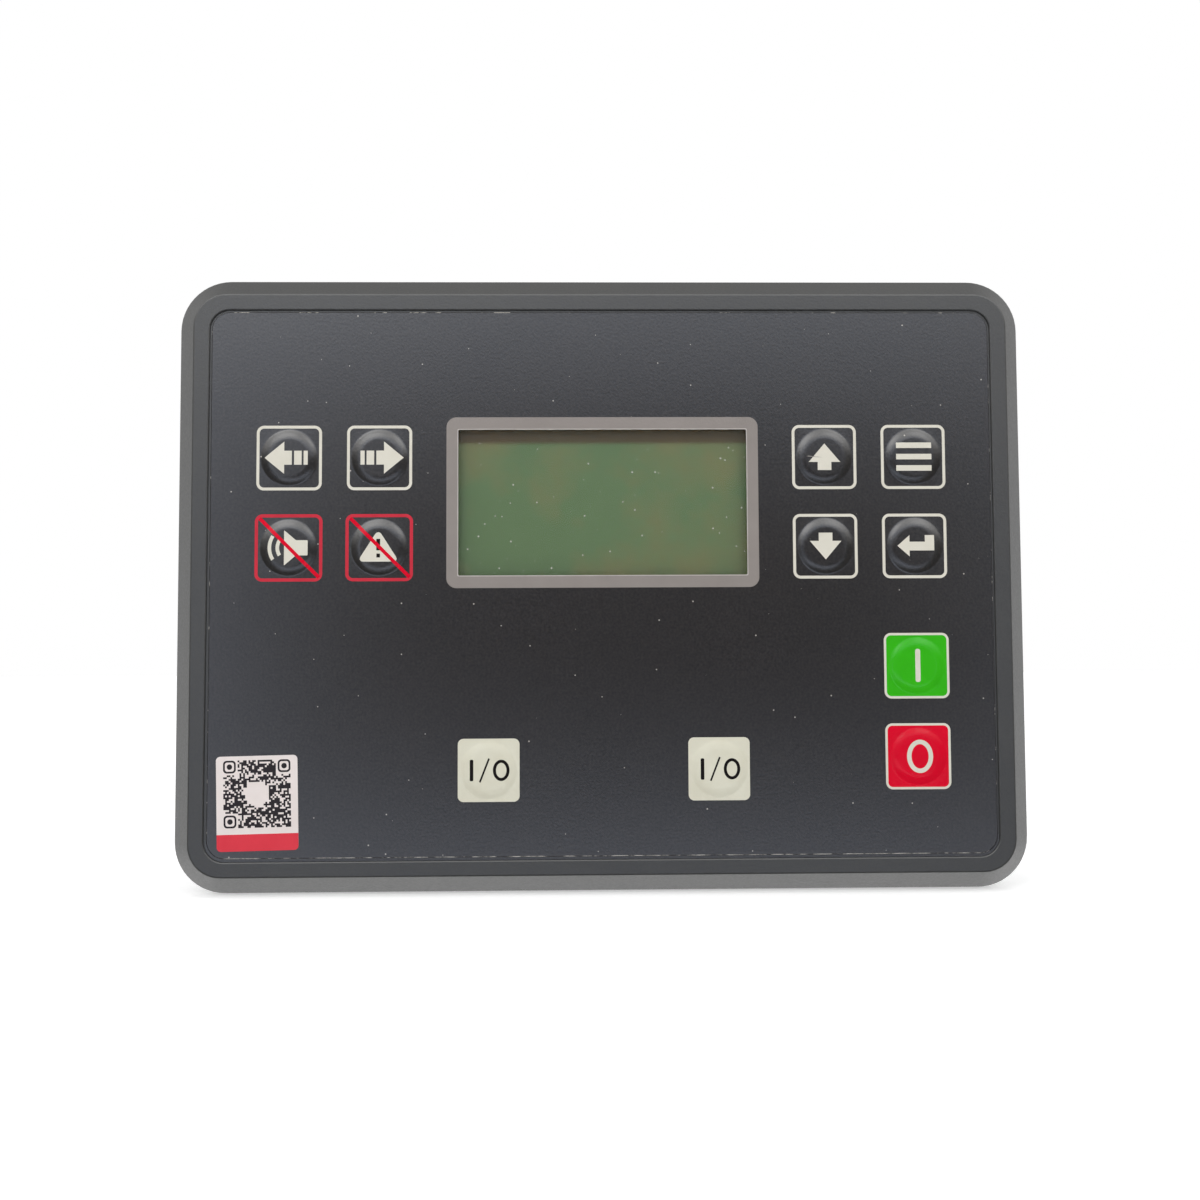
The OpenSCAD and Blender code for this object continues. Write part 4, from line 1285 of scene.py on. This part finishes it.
@dataclass
class Terminals(RearCase):
    """The plug-in terminals and the sockets beside them.

    Attributes:
        contacts: Number of contacts in the network socket.
        pitch: Pitch of those contacts.
        contact: Width, height and length of a contact.
        contact_rise: Height of the mouth's ceiling over the socket's middle.
        contact_inset: How far behind the mouth the contacts start.
    """

    edge_round: float = 0.25
    contacts: int = 8
    pitch: float = 1.02
    contact: tuple[float, float, float] = (0.4, 0.35, 6.0)
    contact_rise: float = 3.4
    contact_inset: float = 2.0

    def build(self) -> None:
        """Rounds and dresses the terminals and the sockets."""
        for node in nodes_ending("_plug") + nodes_ending("_header"):
            self.dress(node, TERMINAL_PA, self.edge_round)
        self.dress("terminal_screws", TIN, 0.0)
        self.dress("data_socket", ZINC, self.edge_round)
        self.dress("network_socket", ZINC, self.edge_round)
        self.build_contacts()
        paint(["terminal_pins"], TIN)

    def build_contacts(self) -> None:
        """Lays the row of sprung contacts along the ceiling of the network socket's mouth."""
        low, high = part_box("network_socket")
        middle = (low + high) / 2 / MM
        wide, tall, deep = self.contact
        bm = bmesh.new()
        for i in range(self.contacts):
            verts = bmesh.ops.create_cube(bm, size=1.0)["verts"]
            bmesh.ops.scale(bm, vec=(wide, tall, deep), verts=verts)
            bmesh.ops.translate(bm, vec=((i - (self.contacts - 1) / 2) * self.pitch, 0.0, 0.0), verts=verts)
        rise = middle.z + self.contact_rise - tall / 2
        place = Matrix.Translation((middle.x, rise, -high.y / MM + deep / 2 + self.contact_inset))
        stand_piece("network_contacts", bm, place, GOLD)


class Boards:
    """The boards and what sits on them, seen only through the vents."""

    def build(self) -> None:
        """Dresses the inner solids."""
        paint(["front_board", "rear_board"], SOLDER_MASK)
        paint(["switch_bodies", "cell_holder"], SWITCH_LCP)
        paint(["processor", "link_socket", "link_header"], CHIP_EPOXY)
        paint(["coin_cell"], NICKEL)
        paint(["board_standoffs"], BRASS)
        paint(["board_screws"], ZINC)
        paint(["supply_capacitors"], CAN_SLEEVE)
        paint(["current_transformers"], TRANSFORMER_PBT)
        paint(nodes_ending("_plunger"), PLUNGER_POM)


@dataclass(frozen=True)
class Softbox:
    """A square studio lamp.

    Attributes:
        name: Its name.
        place: Where it hangs, in metres.
        size: Width of its face.
        level: Brightness of its face, where 1 is paper white.
    """

    name: str
    place: tuple[float, float, float]
    size: float
    level: float

    def build(self) -> None:
        """Hangs the lamp so that it points at the controller."""
        lamp = bpy.data.lights.new(self.name, "AREA")
        lamp.size = self.size
        lamp.energy = self.level * math.pi * self.size ** 2
        holder = bpy.data.objects.new(self.name, lamp)
        spot = Vector(self.place)
        holder.matrix_world = Matrix.Translation(spot) @ spot.to_track_quat("Z", "Y").to_matrix().to_4x4()
        holder.visible_camera = False
        bpy.context.scene.collection.objects.link(holder)


@dataclass(frozen=True)
class ReflectedBoard:
    """A board in front of the controller, which only reflections show.

    Attributes:
        name: Its name.
        colour: Its colour, sRGB hex.
        level: Its brightness, where 1 is paper white.
        size: Width and height in metres.
        away: Its distance in front.
        middle: Where its middle is, to the right and up.
    """

    name: str
    colour: str
    level: float
    size: tuple[float, float]
    away: float
    middle: tuple[float, float] = (0.0, 0.0)


LAMPS = (Softbox("key_softbox", (-0.42, -1.0, 0.72), 0.62, 3.2),
         Softbox("fill_softbox", (0.5, -0.95, 0.72), 0.5, 2.6))
# The bluish wall lightens the film towards its edges, and the card before it keeps the middle dark
REFLECTED_BOARDS = (ReflectedBoard("studio_wall", "#dfe8fa", 3.5, (1.4, 1.3), 1.6),
                    ReflectedBoard("studio_card", "#8a5a2a", 0.2, (0.72, 0.42), 0.95, (0.05, 0.02)))


@dataclass
class Studio:
    """Floor, surround, lamps and camera.

    Attributes:
        floor_size: Width of the floor in metres.
        ambient: Light that the surround gives the object's dull surfaces.
        ahead: What reflections show of the surround in front, low down and overhead.
        ahead_rise: Heights of the way out between which the front goes from the one to the other.
        behind: What they show of it behind, low down and overhead.
        behind_rise: The same heights behind.
        turn_back: How far back the way out points where the front ends and where the back begins.
        floor_colour: Colour of the floor, sRGB hex.
        floor_roughness: Its roughness.
        floor_glow: What the floor adds to its own light for the camera, so that it reads as white.
        floor_gap: Height of the controller over the floor in millimetres.
        image: Width of the photograph in pixels.
        focal: Focal length in those pixels.
        sensor: Width of the camera's sensor in millimetres.
        nearest: Distance from which the camera sees, in metres.
        camera: Where the camera stands on the panel, in millimetres from the film's face.
        turn: Its rotation as a vector, in radians.
        lowered: How far the frame is shifted down, as a share of its width.
    """

    floor_size: float = 8.0
    ambient: float = 0.7
    ahead: tuple[float, float] = (0.3, 3.3)
    ahead_rise: tuple[float, float] = (0.16, 0.46)
    behind: tuple[float, float] = (2.5, 0.4)
    behind_rise: tuple[float, float] = (-0.8, 0.85)
    turn_back: tuple[float, float] = (-0.15, 0.35)
    floor_colour: str = "#f0f0f0"
    floor_roughness: float = 0.9
    floor_glow: float = 0.42
    floor_gap: float = 0.2
    image: float = 1200.0
    focal: float = 1610.4
    sensor: float = 36.0
    nearest: float = 0.01
    camera: tuple[float, float, float] = (-12.17, -19.1, 450.0)
    turn: tuple[float, float, float] = (-0.068, 0.025, 0.004)
    lowered: float = 0.05

    def build(self) -> None:
        """Sets up the studio."""
        scene = bpy.context.scene
        scene.view_settings.view_transform = "Standard"
        self.build_surround(scene)
        self.build_floor()
        for board in REFLECTED_BOARDS:
            self.build_board(board)
        for lamp in LAMPS:
            lamp.build()
        self.build_camera(scene)

    def build_surround(self, scene: bpy.types.Scene) -> None:
        """Makes a surround that is white to the eye, lights the object softly and has its own tones in reflections.

        Args:
            scene: The scene.
        """
        world = bpy.data.worlds.new("studio surround")
        scene.world = world
        world.use_nodes = True
        tree = world.node_tree
        tree.nodes.clear()
        path = add_node(tree, "ShaderNodeLightPath").outputs
        coords = add_node(tree, "ShaderNodeTexCoord").outputs["Object"]
        way = add_node(tree, "ShaderNodeSeparateXYZ", inputs={"Vector": coords}).outputs
        sides = []
        for (low, high), (start, end) in ((self.ahead, self.ahead_rise), (self.behind, self.behind_rise)):
            sides.append(add_node(tree, "ShaderNodeMapRange", inputs={
                "Value": way["Z"], "From Min": start, "From Max": end,
                "To Min": low, "To Max": high}).outputs["Result"])
        mirrored = add_node(tree, "ShaderNodeMapRange", inputs={
            "Value": way["Y"], "From Min": self.turn_back[0], "From Max": self.turn_back[1],
            "To Min": sides[0], "To Max": sides[1]}).outputs["Result"]
        light = add_node(tree, "ShaderNodeMapRange", inputs={
            "Value": path["Is Glossy Ray"], "To Min": self.ambient, "To Max": mirrored}).outputs["Result"]
        seen = add_node(tree, "ShaderNodeMath", {"operation": "MAXIMUM"}, {
            0: path["Is Camera Ray"], 1: path["Is Transmission Ray"]}).outputs[0]
        strength = add_node(tree, "ShaderNodeMapRange", inputs={
            "Value": seen, "To Min": light, "To Max": 1.0}).outputs["Result"]
        shader = add_node(tree, "ShaderNodeBackground", inputs={
            "Color": linear("#ffffff"), "Strength": strength})
        add_node(tree, "ShaderNodeOutputWorld", inputs={"Surface": shader.outputs["Background"]})

    def build_floor(self) -> None:
        """Lays a white floor just under the bezel."""
        low = CAD_BOX[0]
        bm = bmesh.new()
        bmesh.ops.create_grid(bm, x_segments=1, y_segments=1, size=self.floor_size / 2)
        bmesh.ops.translate(bm, vec=(0.0, 0.0, low[2] - self.floor_gap * MM), verts=bm.verts[:])
        material, tree = bare_material("matt white floor")
        path = add_node(tree, "ShaderNodeLightPath").outputs
        glow = add_node(tree, "ShaderNodeMath", {"operation": "MULTIPLY"}, {
            0: path["Is Camera Ray"], 1: self.floor_glow}).outputs[0]
        shader = add_node(tree, "ShaderNodeBsdfPrincipled", inputs={
            "Base Color": linear(self.floor_colour), "Roughness": self.floor_roughness,
            "Emission Color": linear("#ffffff"), "Emission Strength": glow})
        add_node(tree, "ShaderNodeOutputMaterial", inputs={"Surface": shader.outputs["BSDF"]})
        self.stand_stage("studio_floor", bm, material).visible_glossy = False

    def build_board(self, board: ReflectedBoard) -> None:
        """Stands a board in front.

        Args:
            board: The board.
        """
        bm = bmesh.new()
        bmesh.ops.create_grid(bm, x_segments=1, y_segments=1, size=0.5)
        bmesh.ops.scale(bm, vec=(board.size[0], board.size[1], 1.0), verts=bm.verts[:])
        bm.transform(Matrix.Translation((board.middle[0], -board.away, board.middle[1])) @ UPRIGHT)
        material, tree = bare_material(board.name)
        shader = add_node(tree, "ShaderNodeEmission", inputs={
            "Color": linear(board.colour), "Strength": board.level})
        add_node(tree, "ShaderNodeOutputMaterial", inputs={"Surface": shader.outputs["Emission"]})
        piece = self.stand_stage(board.name, bm, material)
        piece.visible_camera = False
        piece.visible_diffuse = False
        piece.visible_shadow = False
        piece.visible_transmission = False

    def stand_stage(self, name: str, bm: bmesh.types.BMesh, material: bpy.types.Material) -> bpy.types.Object:
        """Adds a piece of the studio that isn't part of the object.

        Args:
            name: Its name.
            bm: Its mesh, which is used up.
            material: Its material.

        Returns:
            The piece.
        """
        mesh = bpy.data.meshes.new(name)
        bm.to_mesh(mesh)
        bm.free()
        mesh.materials.append(material)
        piece = bpy.data.objects.new(name, mesh)
        bpy.context.scene.collection.objects.link(piece)
        return piece

    def build_camera(self, scene: bpy.types.Scene) -> None:
        """Places the camera where the photograph was taken from.

        Args:
            scene: The scene.
        """
        data = bpy.data.cameras.new("photo_camera")
        data.sensor_width = self.sensor
        data.lens = self.focal / self.image * self.sensor
        data.shift_y = -self.lowered
        data.clip_start = self.nearest
        camera = bpy.data.objects.new("photo_camera", data)
        scene.collection.objects.link(camera)
        film_face = KeypadFilm().top
        spot = PANEL_TO_FRAME @ Vector((self.camera[0], self.camera[1], self.camera[2] + film_face))
        turn = Vector(self.turn)
        aim = UPRIGHT @ Matrix.Rotation(turn.length, 4, turn.normalized()).transposed()
        camera.matrix_world = Matrix.Translation(spot) @ aim
        scene.camera = camera


def main() -> None:
    """Builds the studio and dresses the controller, sub-assembly by sub-assembly."""
    logging.basicConfig(level=logging.INFO, format="%(name)s %(message)s")
    for part in (Studio(), Bezel(), KeypadFilm(), GuideSticker(), Display(), RearCase(), Terminals(), Boards()):
        LOG.info("building %s", type(part).__name__)
        part.build()


if __name__ == "__main__":
    main()
